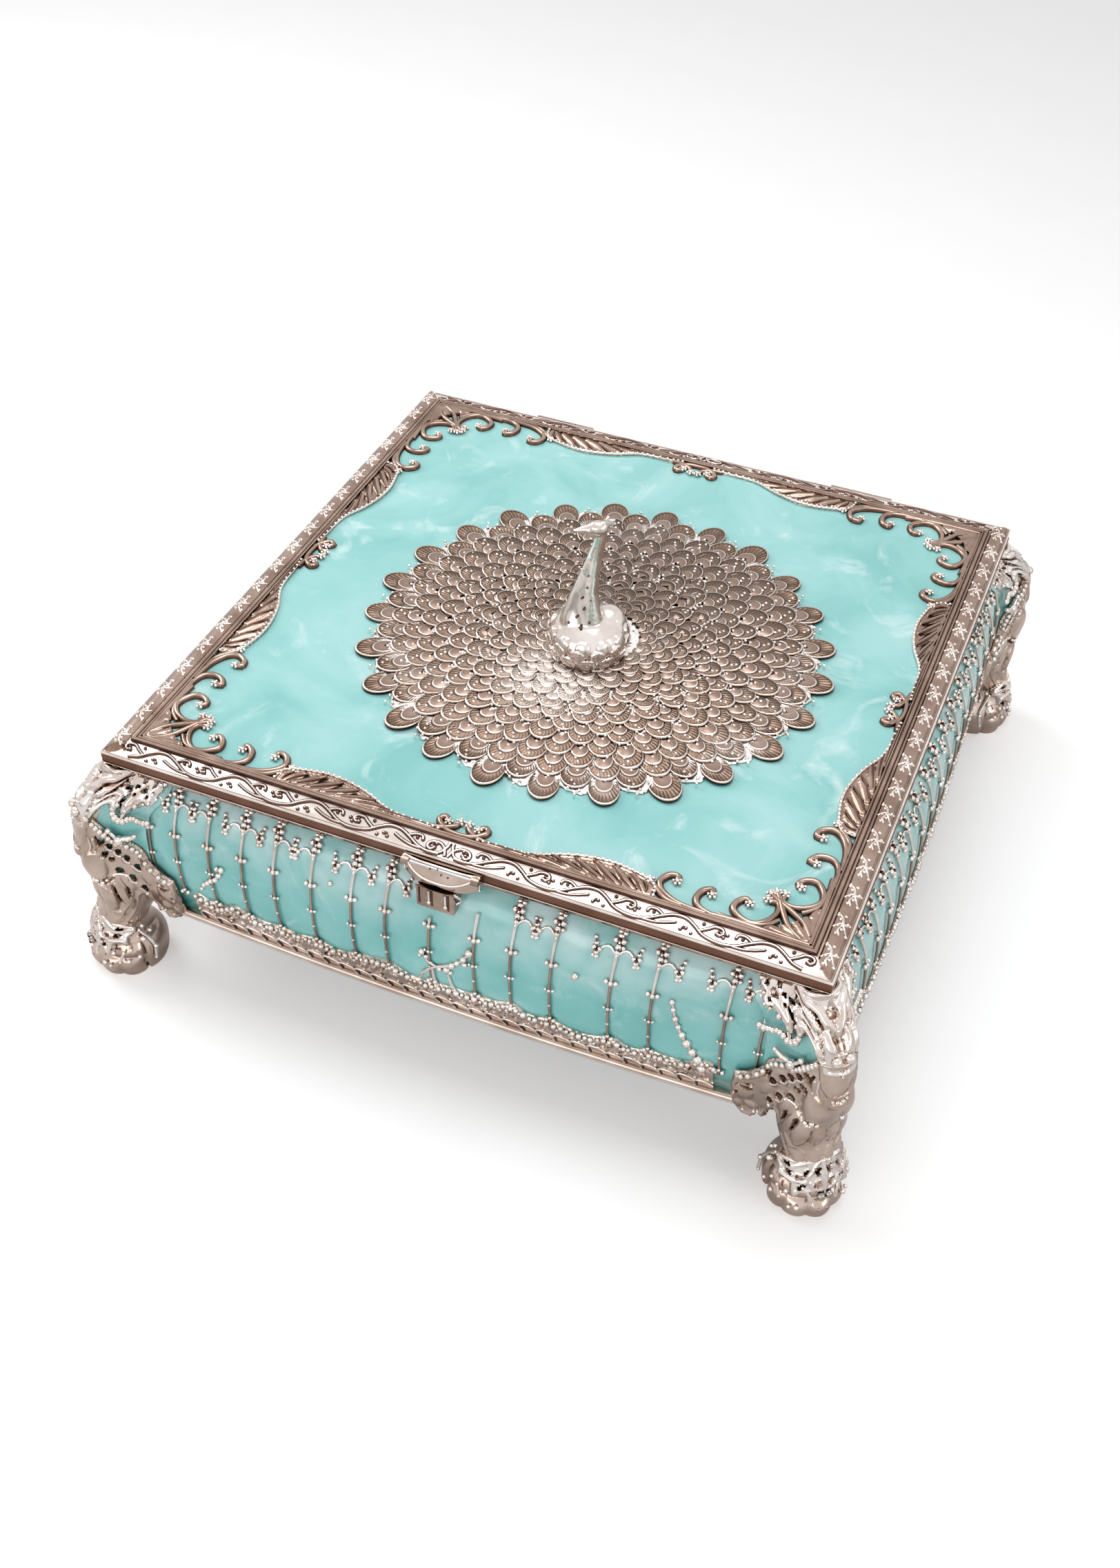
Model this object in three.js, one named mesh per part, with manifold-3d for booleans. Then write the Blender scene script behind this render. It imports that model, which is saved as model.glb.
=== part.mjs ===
// A square footed keepsake casket in plated white metal with turquoise enamel.
// Millimetres, Z up, origin on the ground under the middle of the box, front facing -Y.
import * as THREE from 'three';
import { mergeVertices } from 'three/addons/utils/BufferGeometryUtils.js';
import Module from 'manifold-3d';

const wasm = await Module();
wasm.setup();

// Clearances
const workingGap = 0.3;
const hingeGap = 0.3;
const pinGap = 0.25;

// How far a web or arm runs into what it is joined to
const overlap = 0.2;

// Heights above the ground
const bodyLift = 23.5;
const seatHeight = 75;

// Bottom rails and floor plate
const railHeight = 2.7;
const railInset = 6.5;
const railReach = 1.8;
const floorThickness = 1.5;

// Lid frame
const lidSide = 203;
const lidRimHeight = 3;
const lidBandRun = 6.1;
const lidBandRise = 2.1;
const lidLipWidth = 0.9;
const lidCrestBevel = 0.3;
const lidCrestWidth = 1.6;
const lidCrestRise = 0.6;
const lidLedgeWidth = 4;
const lidLedgeHeight = 2;

// Lid filling
const backingThickness = 1;
const enamelThickness = 1.6;
const lidLiningThickness = 1.4;
const scrollThickness = 1.1;
const scrollDrawnFor = 93.5;
const scrollEdge = 0.3;
const rosetteCentre = [3, -5];
const rosetteRadius = 69;
const rosetteDrawnFor = 69;
const rosetteHeight = 2.2;
const rosetteEdge = 0.4;
const rosetteLand = 14;
const featherLift = 0.9;
// Rings of feathers: tip radius, feathers, how much shorter every other one is, notch depth, root radius
const rosetteRings = [
  [69, 50, 3.4, 4.2, 58],
  [60.2, 50, 4.2, 3.4, 50],
  [50, 25, 0, 3.4, 42],
  [41, 25, 0, 2.8, 34],
  [33, 22, 0, 2.4, 26.5],
  [25.8, 20, 0, 2, 20],
  [19.6, 18, 0, 1.5, 14.2],
];

// Walls
const wallThickness = 2;
const wallBow = 2.5;
const wallLevels = [
  [0, 2.2], [0.1, 3.4], [0.25, 4.6], [0.5, 5.4], [0.75, 4.6], [0.88, 2.6], [0.95, 0.4], [1, -2.6],
];
const mouthHeight = 3;
const mouthInset = 2;
const bandHeight = 11;
const bandThickness = 1.2;

// Corner legs
const postSide = 9.7;
const legAxis = 101;
const pawRadius = 11;
const ankleRadius = 7.4;
const kneeRadius = 4.4;
const kneeHeight = 54;
const pawHeight = 14;
const pawShift = 2;
const kneeShift = 4.6;
const capShift = -3.5;
const flankHollow = 0.8;
const flankAngle = 50;
const toeRadius = 3.1;
const toeSpread = 38;
const wingThickness = 1.6;
const wingReach = 14.5;
const lugSide = 14.7;
const lugThickness = 5.2;
const lugMiddle = 87;

// Leg screws
const screwShankRadius = 2;
const screwHeadRadius = 3.9;
const screwHeadHeight = 2.2;

// Lining
const liningThickness = 1.5;
const floorLiningThickness = 2;

// Bird finial
const finialCentre = [3, -12];
const finialHeight = 46;
const finialBodyRadius = 11.3;
const finialTurn = 21;
const studRadius = 2;
const washerRadius = 5;
const washerThickness = 0.8;
const nutFlats = 7;
const nutHeight = 2.4;
const studTail = 0.6;

// Hinges
const hingeSpacing = 104;
const hingeLength = 20;
const knuckleRadius = 2;
const hingePinRadius = 0.8;
const knuckleLength = 6;
const hingeLeafThickness = 0.6;
const hingeLeafHeight = 2.4;
const hingeWebHeight = 1.3;

// Clasp
const claspWidth = 21.4;
const claspHeight = 5;
const claspDepth = 4.9;
const claspBarrelRadius = 1.1;
const claspPinRadius = 0.45;
const claspPinGap = 0.2;
const claspEarLength = 2;
const claspPlateThickness = 0.6;
const claspChamfer = 3;
const earWebHalf = 0.8;
const keeperWidth = 8;
const keeperHeight = 6.4;
const keeperRibDepth = 0.6;
const keeperRoomDepth = 5.2;
const keeperTongueWidth = 4.6;
const keeperTongueDepth = 1.2;

// Sizes that follow
const lidHalf = lidSide / 2;
const rimTop = seatHeight + lidRimHeight;
const crestHeight = rimTop + lidBandRise + lidCrestRise;
const crestInner = lidHalf - lidBandRun - lidCrestBevel - lidCrestWidth;
const ledgeInner = crestInner - lidLedgeWidth;
const sheetHalf = crestInner - workingGap;
const scrollScale = crestInner / scrollDrawnFor;
const backingBottom = seatHeight + lidLedgeHeight;
const enamelBottom = backingBottom + backingThickness;
const enamelTop = enamelBottom + enamelThickness;
const rosetteScale = rosetteRadius / rosetteDrawnFor;
const rosetteTop = enamelTop + rosetteHeight;
const studBottom = backingBottom - washerThickness - nutHeight - studTail;
const railTop = bodyLift + railHeight;
const floorTop = railTop + floorThickness;
const mouthBottom = seatHeight - mouthHeight;
const mouthOuter = lidHalf - mouthInset;
const wallHeight = mouthBottom - railTop;
const postInner = legAxis - postSide;
const wallHalf = postInner - workingGap;
const liningOuter = postInner - workingGap;
const liningInner = liningOuter - liningThickness;
const liningFloorTop = floorTop + floorLiningThickness;
const floorEdge = lidHalf + wallLevels[0][1] - wallBow - wallThickness - workingGap;
const hingeAxisY = lidHalf + hingeLeafThickness + hingeGap + knuckleRadius;
const claspAxisY = -(lidHalf + claspPlateThickness + workingGap + claspBarrelRadius);
const claspAxisZ = rimTop - 1;
const tongueTop = seatHeight - workingGap;
const tongueBack = claspAxisY + 0.4;
const tongueFront = tongueBack - keeperTongueDepth;
const quarterTurn = Math.PI / 2;
const sideNames = ['front', 'right', 'back', 'left'];
const cornerNames = ['front_left', 'front_right', 'back_right', 'back_left'];

// Finishes
const rosePlate = { color: 0xb9a096, roughness: 0.24, metalness: 1 };
const brightPlate = { color: 0xe4dedb, roughness: 0.12, metalness: 1 };
const brownPlate = { color: 0x8b6b5e, roughness: 0.3, metalness: 1 };
const enamel = { color: 0x9fdad6, roughness: 0.16, metalness: 0 };
const velvet = { color: 0x2c6a6c, roughness: 0.95, metalness: 0 };
const steel = { color: 0xb8b9bb, roughness: 0.35, metalness: 1 };

// A geometry as a solid, with its faces turned outwards
function solidOf(geometry) {
  const bare = geometry.index ? geometry.toNonIndexed() : geometry.clone();
  bare.deleteAttribute('normal');
  bare.deleteAttribute('uv');
  const merged = mergeVertices(bare, 1e-4);
  const vertProperties = new Float32Array(merged.attributes.position.array);
  const triVerts = new Uint32Array(merged.index.array);
  if (signedVolume(vertProperties, triVerts) < 0) {
    for (let i = 0; i < triVerts.length; i += 3) {
      const first = triVerts[i];
      triVerts[i] = triVerts[i + 1];
      triVerts[i + 1] = first;
    }
  }
  return new wasm.Manifold(new wasm.Mesh({ numProp: 3, vertProperties, triVerts }));
}

function signedVolume(points, faces) {
  const corner = [new THREE.Vector3(), new THREE.Vector3(), new THREE.Vector3()];
  let total = 0;
  for (let i = 0; i < faces.length; i += 3) {
    corner.forEach((vector, k) => vector.fromArray(points, 3 * faces[i + k]));
    total += corner[0].dot(corner[1].clone().cross(corner[2])) / 6;
  }
  return total;
}

function geometryOf(solid) {
  const mesh = solid.getMesh();
  const geometry = new THREE.BufferGeometry();
  geometry.setAttribute('position', new THREE.BufferAttribute(mesh.vertProperties, 3));
  geometry.setIndex(new THREE.BufferAttribute(mesh.triVerts, 1));
  geometry.computeVertexNormals();
  return geometry;
}

function joined(solids) {
  return solids.reduce((whole, piece) => whole.add(piece));
}

function box(low, high) {
  const size = high.map((value, k) => value - low[k]);
  const geometry = new THREE.BoxGeometry(...size);
  geometry.translate(...low.map((value, k) => value + size[k] / 2));
  return solidOf(geometry);
}

function outline(points) {
  return new THREE.Shape(points.map(([x, y]) => new THREE.Vector2(x, y)));
}

// A flat outline in XY, raised along Z
function plate(points, bottom, top) {
  const geometry = new THREE.ExtrudeGeometry(outline(points), { depth: top - bottom, bevelEnabled: false });
  geometry.translate(0, 0, bottom);
  return solidOf(geometry);
}

// An outline in YZ, drawn out along X
function barAlongX(points, start, end) {
  const geometry = new THREE.ExtrudeGeometry(outline(points), { depth: end - start, bevelEnabled: false });
  const axes = new THREE.Matrix4().makeBasis(
    new THREE.Vector3(0, 1, 0),
    new THREE.Vector3(0, 0, 1),
    new THREE.Vector3(1, 0, 0),
  );
  geometry.applyMatrix4(axes);
  geometry.translate(start, 0, 0);
  return solidOf(geometry);
}

// An outline in XZ, drawn out along Y
function barAlongY(points, start, end) {
  const geometry = new THREE.ExtrudeGeometry(outline(points), { depth: end - start, bevelEnabled: false });
  geometry.rotateX(quarterTurn);
  geometry.translate(0, end, 0);
  return solidOf(geometry);
}

// A profile of [radius, height] points turned about the Z axis
function turned(profile, sides, centre = [0, 0]) {
  const points = profile.map(([radius, height]) => new THREE.Vector2(radius, height));
  const geometry = new THREE.LatheGeometry(points, sides);
  geometry.rotateX(quarterTurn);
  geometry.translate(centre[0], centre[1], 0);
  return solidOf(geometry);
}

function disc(radius, bottom, top, sides, centre = [0, 0]) {
  return turned([[0, bottom], [radius, bottom], [radius, top], [0, top]], sides, centre);
}

// A round bar along X through a point of the YZ plane
function rodAlongX(radius, start, end, y, z, sides = 12) {
  const geometry = new THREE.CylinderGeometry(radius, radius, end - start, sides);
  geometry.rotateZ(quarterTurn);
  geometry.translate((start + end) / 2, y, z);
  return solidOf(geometry);
}

function ellipsoid(radii, centre, across = 10, up = 8) {
  const geometry = new THREE.SphereGeometry(1, across, up);
  geometry.rotateX(quarterTurn);
  geometry.scale(...radii);
  geometry.translate(...centre);
  return solidOf(geometry);
}

// A skin through rings of equal count, capped at both ends with the flat outline, or closed on itself
function loft(rings, flatEnd = null) {
  const count = rings[0].length;
  const faces = [];
  const spans = flatEnd ? rings.length - 1 : rings.length;
  for (let i = 0; i < spans; i += 1) {
    const here = i * count;
    const next = ((i + 1) % rings.length) * count;
    for (let k = 0; k < count; k += 1) {
      const after = (k + 1) % count;
      faces.push(here + k, next + k, next + after, here + k, next + after, here + after);
    }
  }
  if (flatEnd) {
    const flat = flatEnd.map(([x, y]) => new THREE.Vector2(x, y));
    const last = (rings.length - 1) * count;
    const ringTurn = Math.sign(THREE.ShapeUtils.area(flat));
    THREE.ShapeUtils.triangulateShape(flat, []).forEach(([a, b, c]) => {
      const sameTurn = Math.sign(THREE.ShapeUtils.area([flat[a], flat[b], flat[c]])) === ringTurn;
      const [second, third] = sameTurn ? [b, c] : [c, b];
      faces.push(a, second, third, last + a, last + third, last + second);
    });
  }
  const geometry = new THREE.BufferGeometry();
  geometry.setAttribute('position', new THREE.Float32BufferAttribute(rings.flat(2), 3));
  geometry.setIndex(faces);
  return solidOf(geometry);
}

// The wall's bulge beyond the lid's edge at a height, in the middle of a side
function wallBulge(height) {
  const share = THREE.MathUtils.clamp((height - railTop) / wallHeight, 0, 1);
  const next = Math.max(1, wallLevels.findIndex(([level]) => level >= share - 1e-9));
  const [lowLevel, lowBulge] = wallLevels[next - 1];
  const [highLevel, highBulge] = wallLevels[next];
  return THREE.MathUtils.mapLinear(share, lowLevel, highLevel, lowBulge, highBulge);
}

// How far the wall's outer face stands from the middle of the box
function wallReach(along, height) {
  return lidHalf + wallBulge(height) - wallBow * (along / wallHalf) ** 2;
}

// A skin that follows the front wall from start to end, between two offsets from its outer face
function wallSkin(start, end, inner, outer, low, high, steps) {
  const middleLevels = wallLevels
    .map(([level]) => railTop + level * wallHeight)
    .filter((height) => height > low + 0.2 && height < high - 0.2);
  const levels = [low, ...middleLevels, high];
  const sectionAt = (along) => [
    ...levels.map((height) => [wallReach(along, height) + outer, height]),
    ...levels.toReversed().map((height) => [wallReach(along, height) + inner, height]),
  ];
  const rings = [];
  for (let i = 0; i <= steps; i += 1) {
    const along = THREE.MathUtils.lerp(start, end, i / steps);
    rings.push(sectionAt(along).map(([reach, height]) => [along, -reach, height]));
  }
  return loft(rings, sectionAt(start));
}

function enamelWall() {
  return wallSkin(-wallHalf, wallHalf, -wallThickness, 0, railTop, mouthBottom, 8);
}

function leafBand() {
  const bandHalf = postInner - wingReach - workingGap;
  const outer = workingGap + bandThickness;
  return wallSkin(-bandHalf, bandHalf, workingGap, outer, railTop, railTop + bandHeight, 8);
}

// The rail under one wall, with a rounded front edge
function bottomRail() {
  const bevel = railHeight / 3;
  const inner = lidHalf - railInset;
  const sectionAt = (along) => {
    const outer = wallReach(along, railTop) + railReach;
    return [
      [inner, bodyLift],
      [outer - bevel, bodyLift],
      [outer, bodyLift + bevel],
      [outer, railTop - bevel],
      [outer - bevel / 2, railTop],
      [inner, railTop],
    ];
  };
  const rings = [];
  const steps = 8;
  for (let i = 0; i <= steps; i += 1) {
    const along = THREE.MathUtils.lerp(-wallHalf, wallHalf, i / steps);
    rings.push(sectionAt(along).map(([reach, height]) => [along, -reach, height]));
  }
  return loft(rings, sectionAt(-wallHalf));
}

function square(half) {
  return [[-half, -half], [half, -half], [half, half], [-half, half]];
}

function screwPlaces() {
  return [[-lugMiddle, -lugMiddle], [lugMiddle, -lugMiddle], [lugMiddle, lugMiddle], [-lugMiddle, lugMiddle]];
}

function floorPlate() {
  const edge = floorEdge;
  const notch = wallHalf;
  const points = [
    [-notch, -edge], [notch, -edge], [notch, -notch], [edge, -notch],
    [edge, notch], [notch, notch], [notch, edge], [-notch, edge],
    [-notch, notch], [-edge, notch], [-edge, -notch], [-notch, -notch],
  ];
  const sheet = plate(points, railTop, floorTop);
  const hole = (place) => disc(screwShankRadius + pinGap, railTop - 1, floorTop + 1, 12, place);
  return screwPlaces().reduce((rest, place) => rest.subtract(hole(place)), sheet);
}

function mouthFrame() {
  return plate(square(mouthOuter), mouthBottom, seatHeight)
    .subtract(plate(square(liningInner), mouthBottom - 1, seatHeight + 1));
}

// The floor board lies between the wall boards, which stand on the floor plate
function floorLining() {
  return plate(square(liningInner - workingGap), floorTop, liningFloorTop);
}

function wallLining() {
  return box(
    [-liningOuter, -liningOuter, floorTop],
    [liningInner - workingGap, -liningInner, mouthBottom - workingGap],
  );
}

// Corner leg: cap, knee, ankle and paw stacked on the corner's diagonal, as [height, radius, outward shift]
function legLevels() {
  const shin = kneeHeight - pawHeight;
  const cap = mouthBottom - workingGap - kneeHeight;
  return [
    [0, 0.9 * pawRadius, 0.8 * pawShift],
    [0.2 * pawHeight, 0.98 * pawRadius, pawShift],
    [0.55 * pawHeight, 0.98 * pawRadius, 0.9 * pawShift],
    [0.85 * pawHeight, 1.27 * ankleRadius, 1.1 * pawShift],
    [1.15 * pawHeight, ankleRadius, 1.3 * pawShift],
    [pawHeight + 0.16 * shin, 1.02 * ankleRadius, 0.75 * pawShift],
    [pawHeight + 0.32 * shin, 1.09 * ankleRadius, 0.1 * pawShift],
    [pawHeight + 0.48 * shin, ankleRadius, 0.16 * kneeShift],
    [pawHeight + 0.58 * shin, 0.79 * ankleRadius, 0.53 * kneeShift],
    [pawHeight + 0.68 * shin, 1.05 * kneeRadius, 0.87 * kneeShift],
    [pawHeight + 0.85 * shin, kneeRadius, kneeShift],
    [kneeHeight, kneeRadius, kneeShift],
    [kneeHeight + 0.34 * cap, kneeRadius, 0.78 * kneeShift],
    [kneeHeight + 0.58 * cap, 1.05 * kneeRadius, 0.45 * kneeShift],
    [kneeHeight + 0.8 * cap, 1.15 * kneeRadius, 0.43 * capShift],
    [kneeHeight + cap, 1.1 * kneeRadius, capShift],
  ];
}

function legShaft() {
  const sides = 12;
  const rings = legLevels().map(([height, radius, shift]) => {
    const axis = -(legAxis + shift);
    const ring = [];
    for (let k = 0; k < sides; k += 1) {
      const angle = (2 * Math.PI * (k + 0.5)) / sides;
      ring.push([axis + radius * Math.cos(angle), axis + radius * Math.sin(angle), height]);
    }
    return ring;
  });
  return loft(rings, rings[0]);
}

// The casting's hollow flanks, from the ends of both walls to the leg's ridge
function legFlanks() {
  const rings = legLevels().filter(([height]) => height > railTop).map(([height, radius, shift]) => {
    const axis = -(legAxis + shift);
    const face = -(wallReach(postInner, height) + workingGap + 0.8 * wingThickness);
    const side = THREE.MathUtils.degToRad(flankAngle);
    const onRidge = (turn) => [axis + radius * Math.cos(turn), axis + radius * Math.sin(turn)];
    const foot = onRidge(1.25 * Math.PI + side);
    const half = [
      [-postInner, face],
      [(foot[0] - postInner) / 2, (foot[1] + face) / 2 + flankHollow],
      foot,
    ];
    const otherHalf = half.toReversed().map(([x, y]) => [y, x]);
    const ring = [[-postInner, -postInner], ...half, onRidge(1.25 * Math.PI), ...otherHalf];
    return ring.map(([x, y]) => [x, y, height]);
  });
  return loft(rings, rings[0]);
}

// Five rounded toes round the outer half of the paw
function toes() {
  const pawAxis = -(legAxis + pawShift);
  const outward = 1.25 * Math.PI;
  const spread = THREE.MathUtils.degToRad(toeSpread);
  const ring = pawRadius - 2.6;
  return [-2, -1, 0, 1, 2].map((step) => {
    const angle = outward + step * spread;
    const centre = [pawAxis + ring * Math.cos(angle), pawAxis + ring * Math.sin(angle), toeRadius];
    return ellipsoid([toeRadius, toeRadius, toeRadius + 0.8], centre, 6, 4);
  });
}

// The leaves that spread from the casting over the end of the front wall, as [reach from the post, height]
function wingOutline() {
  const foot = railTop + workingGap;
  const top = mouthBottom - workingGap;
  const inset = -0.4;
  const shares = [
    [inset, 1], [1, 1], [0.97, 0.92], [0.72, 0.84], [0.79, 0.75], [0.45, 0.73], [0.41, 0.59], [0.17, 0.51],
    [0.1, 0.37], [0.14, 0.29], [0.28, 0.21], [0.66, 0.22], [0.9, 0.14], [1, 0], [inset, 0],
  ];
  return shares.map(([out, up]) => [out * wingReach - postInner, THREE.MathUtils.lerp(foot, top, up)]);
}

function cornerWing() {
  const start = -postInner - 5.5;
  const end = -postInner + wingReach;
  const outer = workingGap + wingThickness;
  const skin = wallSkin(start, end, workingGap, outer, railTop + workingGap, mouthBottom - workingGap, 2);
  return skin.intersect(barAlongY(wingOutline(), -2 * lidHalf, 0));
}

// The same solid with X and Y exchanged
function acrossDiagonal(solid) {
  const exchange = new THREE.Matrix4().set(0, 1, 0, 0, 1, 0, 0, 0, 0, 0, 1, 0, 0, 0, 0, 1);
  return solidOf(geometryOf(solid).applyMatrix4(exchange));
}

function cornerLeg() {
  const postOuter = -(postInner + 0.6 * postSide);
  const post = box(
    [postOuter, postOuter, bodyLift],
    [-postInner, -postInner, mouthBottom - workingGap],
  );
  const lugOuter = lidHalf - railInset - workingGap;
  const lugInner = lugSide - lugOuter;
  const lug = box([-lugOuter, -lugOuter, railTop - lugThickness], [lugInner, lugInner, railTop]);
  const wing = cornerWing();
  const whole = joined([legShaft(), legFlanks(), post, lug, wing, acrossDiagonal(wing), ...toes()]);
  const hole = disc(screwShankRadius + pinGap, 0, seatHeight, 12, [-lugMiddle, -lugMiddle]);
  const ground = box([-lidSide, -lidSide, -lidSide], [0, 0, 0]);
  return whole.subtract(hole).subtract(ground);
}

function legScrew() {
  const lugBottom = railTop - lugThickness;
  return turned([
    [0, lugBottom - screwHeadHeight],
    [screwHeadRadius - 0.8, lugBottom - screwHeadHeight],
    [screwHeadRadius, lugBottom - screwHeadHeight / 2],
    [screwHeadRadius, lugBottom],
    [screwShankRadius, lugBottom],
    [screwShankRadius, floorTop - workingGap],
    [0, floorTop - workingGap],
  ], 12, [-lugMiddle, -lugMiddle]);
}

// Lid frame section as [distance in from the lid's edge, height]
function lidFrame() {
  const crestStart = lidBandRun + lidCrestBevel;
  const section = [
    [0, seatHeight],
    [0, rimTop],
    [lidLipWidth, rimTop],
    [lidBandRun, rimTop + lidBandRise],
    [crestStart, crestHeight],
    [crestStart + lidCrestWidth, crestHeight],
    [crestStart + lidCrestWidth, backingBottom],
    [lidHalf - ledgeInner, backingBottom],
    [lidHalf - ledgeInner, seatHeight],
  ];
  const rings = [[-1, -1], [1, -1], [1, 1], [-1, 1]].map(([sideX, sideY]) => (
    section.map(([inward, height]) => [sideX * (lidHalf - inward), sideY * (lidHalf - inward), height])
  ));
  return loft(rings);
}

function lidSheet(half, bottom, top, holeRadius) {
  return plate(square(half), bottom, top)
    .subtract(disc(holeRadius, bottom - 1, top + 1, 16, finialCentre));
}

// A flat band of even height along a smooth line in the lid's plane, with a ball-shaped end
function scrollBand(points, startWidth, endWidth) {
  const curve = new THREE.SplineCurve(points.map(([x, y]) => new THREE.Vector2(x, y)));
  const steps = points.length + 1;
  const left = [];
  const right = [];
  for (let i = 0; i <= steps; i += 1) {
    const place = curve.getPoint(i / steps);
    const way = curve.getTangent(i / steps);
    const half = THREE.MathUtils.lerp(startWidth, endWidth, i / steps) / 2;
    left.push([place.x - way.y * half, place.y + way.x * half]);
    right.push([place.x + way.y * half, place.y - way.x * half]);
  }
  return plate([...left, ...right.toReversed()], enamelTop, enamelTop + scrollThickness);
}

function scrollBead(place, radius) {
  return disc(radius, enamelTop, enamelTop + scrollThickness, 6, place);
}

// A scroll drawn for one size of lid, scaled to this one and put in its place
function placedScroll(solid, x, y) {
  return solidOf(geometryOf(solid).scale(scrollScale, scrollScale, 1).translate(x, y, 0));
}

// Outlines below are measured in from the inner corner of the crest, along one side and the other
function cornerScroll() {
  const edge = scrollEdge;
  const halfFan = [
    [edge, edge], [43.5, edge], [41, 2.2], [35, 2.4], [28, 1.6], [20, 2.6], [12.5, 5], [9.5, 9.5],
  ];
  const otherHalf = halfFan.slice(1, -1).toReversed().map(([a, b]) => [b, a]);
  const fan = plate([...halfFan, ...otherHalf], enamelTop, enamelTop + scrollThickness);
  const curls = [
    [[33, 1.6], [37.5, 3], [39.8, 6], [39, 9.2], [36.8, 9.8]],
    [[23, 1.6], [27.5, 2.2], [30.2, 4.8], [29.8, 7.8], [27.8, 8.6]],
    [[18.8, 8.4], [20.6, 6.6], [18.6, 4], [14.4, 4.6], [11.6, 8.2], [12.6, 12.2], [14.8, 12.4]],
  ];
  const half = curls.flatMap((points) => [scrollBand(points, 1.9, 1.3), scrollBead(points.at(-1), 1.2)]);
  half.push(scrollBead([18.8, 8.4], 1.2));
  const oneSide = joined(half);
  const whole = joined([fan, oneSide, acrossDiagonal(oneSide)]);
  return placedScroll(whole, -crestInner, -crestInner);
}

// The side mount: two leaf swells either side of a pair of small curls, as [along from the middle, inward]
function sideScroll() {
  const halfSwell = [
    [48.5, scrollEdge], [48.5, 3.4], [45.5, 6], [40, 7.4], [34, 7],
    [28, 5.6], [22, 3], [16, 1.9], [9, 1.5], [4, 2.2],
  ];
  const otherHalf = halfSwell.toReversed().map(([a, b]) => [-a, b]);
  const swell = plate([...halfSwell, ...otherHalf], enamelTop, enamelTop + scrollThickness);
  const curl = [[0.8, 1.4], [1.4, 4], [3.4, 6], [5.6, 5.4]];
  const curls = [1, -1].flatMap((side) => {
    const points = curl.map(([a, b]) => [side * a, b]);
    return [scrollBand(points, 1.7, 1.2), scrollBead(points.at(-1), 1.1)];
  });
  return placedScroll(joined([swell, ...curls]), 0, -crestInner);
}

// The low cone that the rosette's feathers lie on
function rosetteSlope(radius) {
  const land = rosetteLand * rosetteScale;
  const share = THREE.MathUtils.clamp((radius - land) / (rosetteRadius - land), 0, 1);
  return THREE.MathUtils.lerp(rosetteTop, enamelTop + rosetteEdge, share);
}

// A ring of feathers as one dished plate: it rises from the roots to the tips, and the next ring lies in it
function featherRing([tip, feathers, shorter, notch, root], number) {
  const [centreX, centreY] = rosetteCentre;
  const pointsEach = number === 0 ? 3 : 2;
  const count = pointsEach * feathers;
  const outline = [];
  const inner = [];
  for (let k = 0; k < count; k += 1) {
    const feather = Math.floor(k / pointsEach);
    const drawn = tip - (feather % 2) * shorter - (k % pointsEach === 0 ? notch : 0);
    const angle = (2 * Math.PI * (k + 0.5 * number)) / count;
    const along = [Math.cos(angle), Math.sin(angle)];
    const point = (radius) => [centreX + radius * along[0], centreY + radius * along[1]];
    outline.push(point(drawn * rosetteScale));
    inner.push(point(root * rosetteScale));
  }
  const rim = rosetteSlope(tip * rosetteScale) + featherLift;
  const heel = rosetteSlope(root * rosetteScale) - overlap / 2;
  const rings = [[outline, enamelTop], [outline, rim], [inner, heel]];
  return loft(rings.map(([ring, height]) => ring.map(([x, y]) => [x, y, height])), outline);
}

function featherRosette() {
  const land = disc(rosetteLand * rosetteScale, enamelTop, rosetteTop, 24, rosetteCentre);
  const hole = disc(studRadius + pinGap, enamelTop - 1, rosetteTop + 1, 12, finialCentre);
  const finialSeat = disc(finialBodyRadius + workingGap, rosetteTop, rosetteTop + 2, 24, finialCentre);
  return joined([land, ...rosetteRings.map(featherRing)]).subtract(hole).subtract(finialSeat);
}

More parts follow.
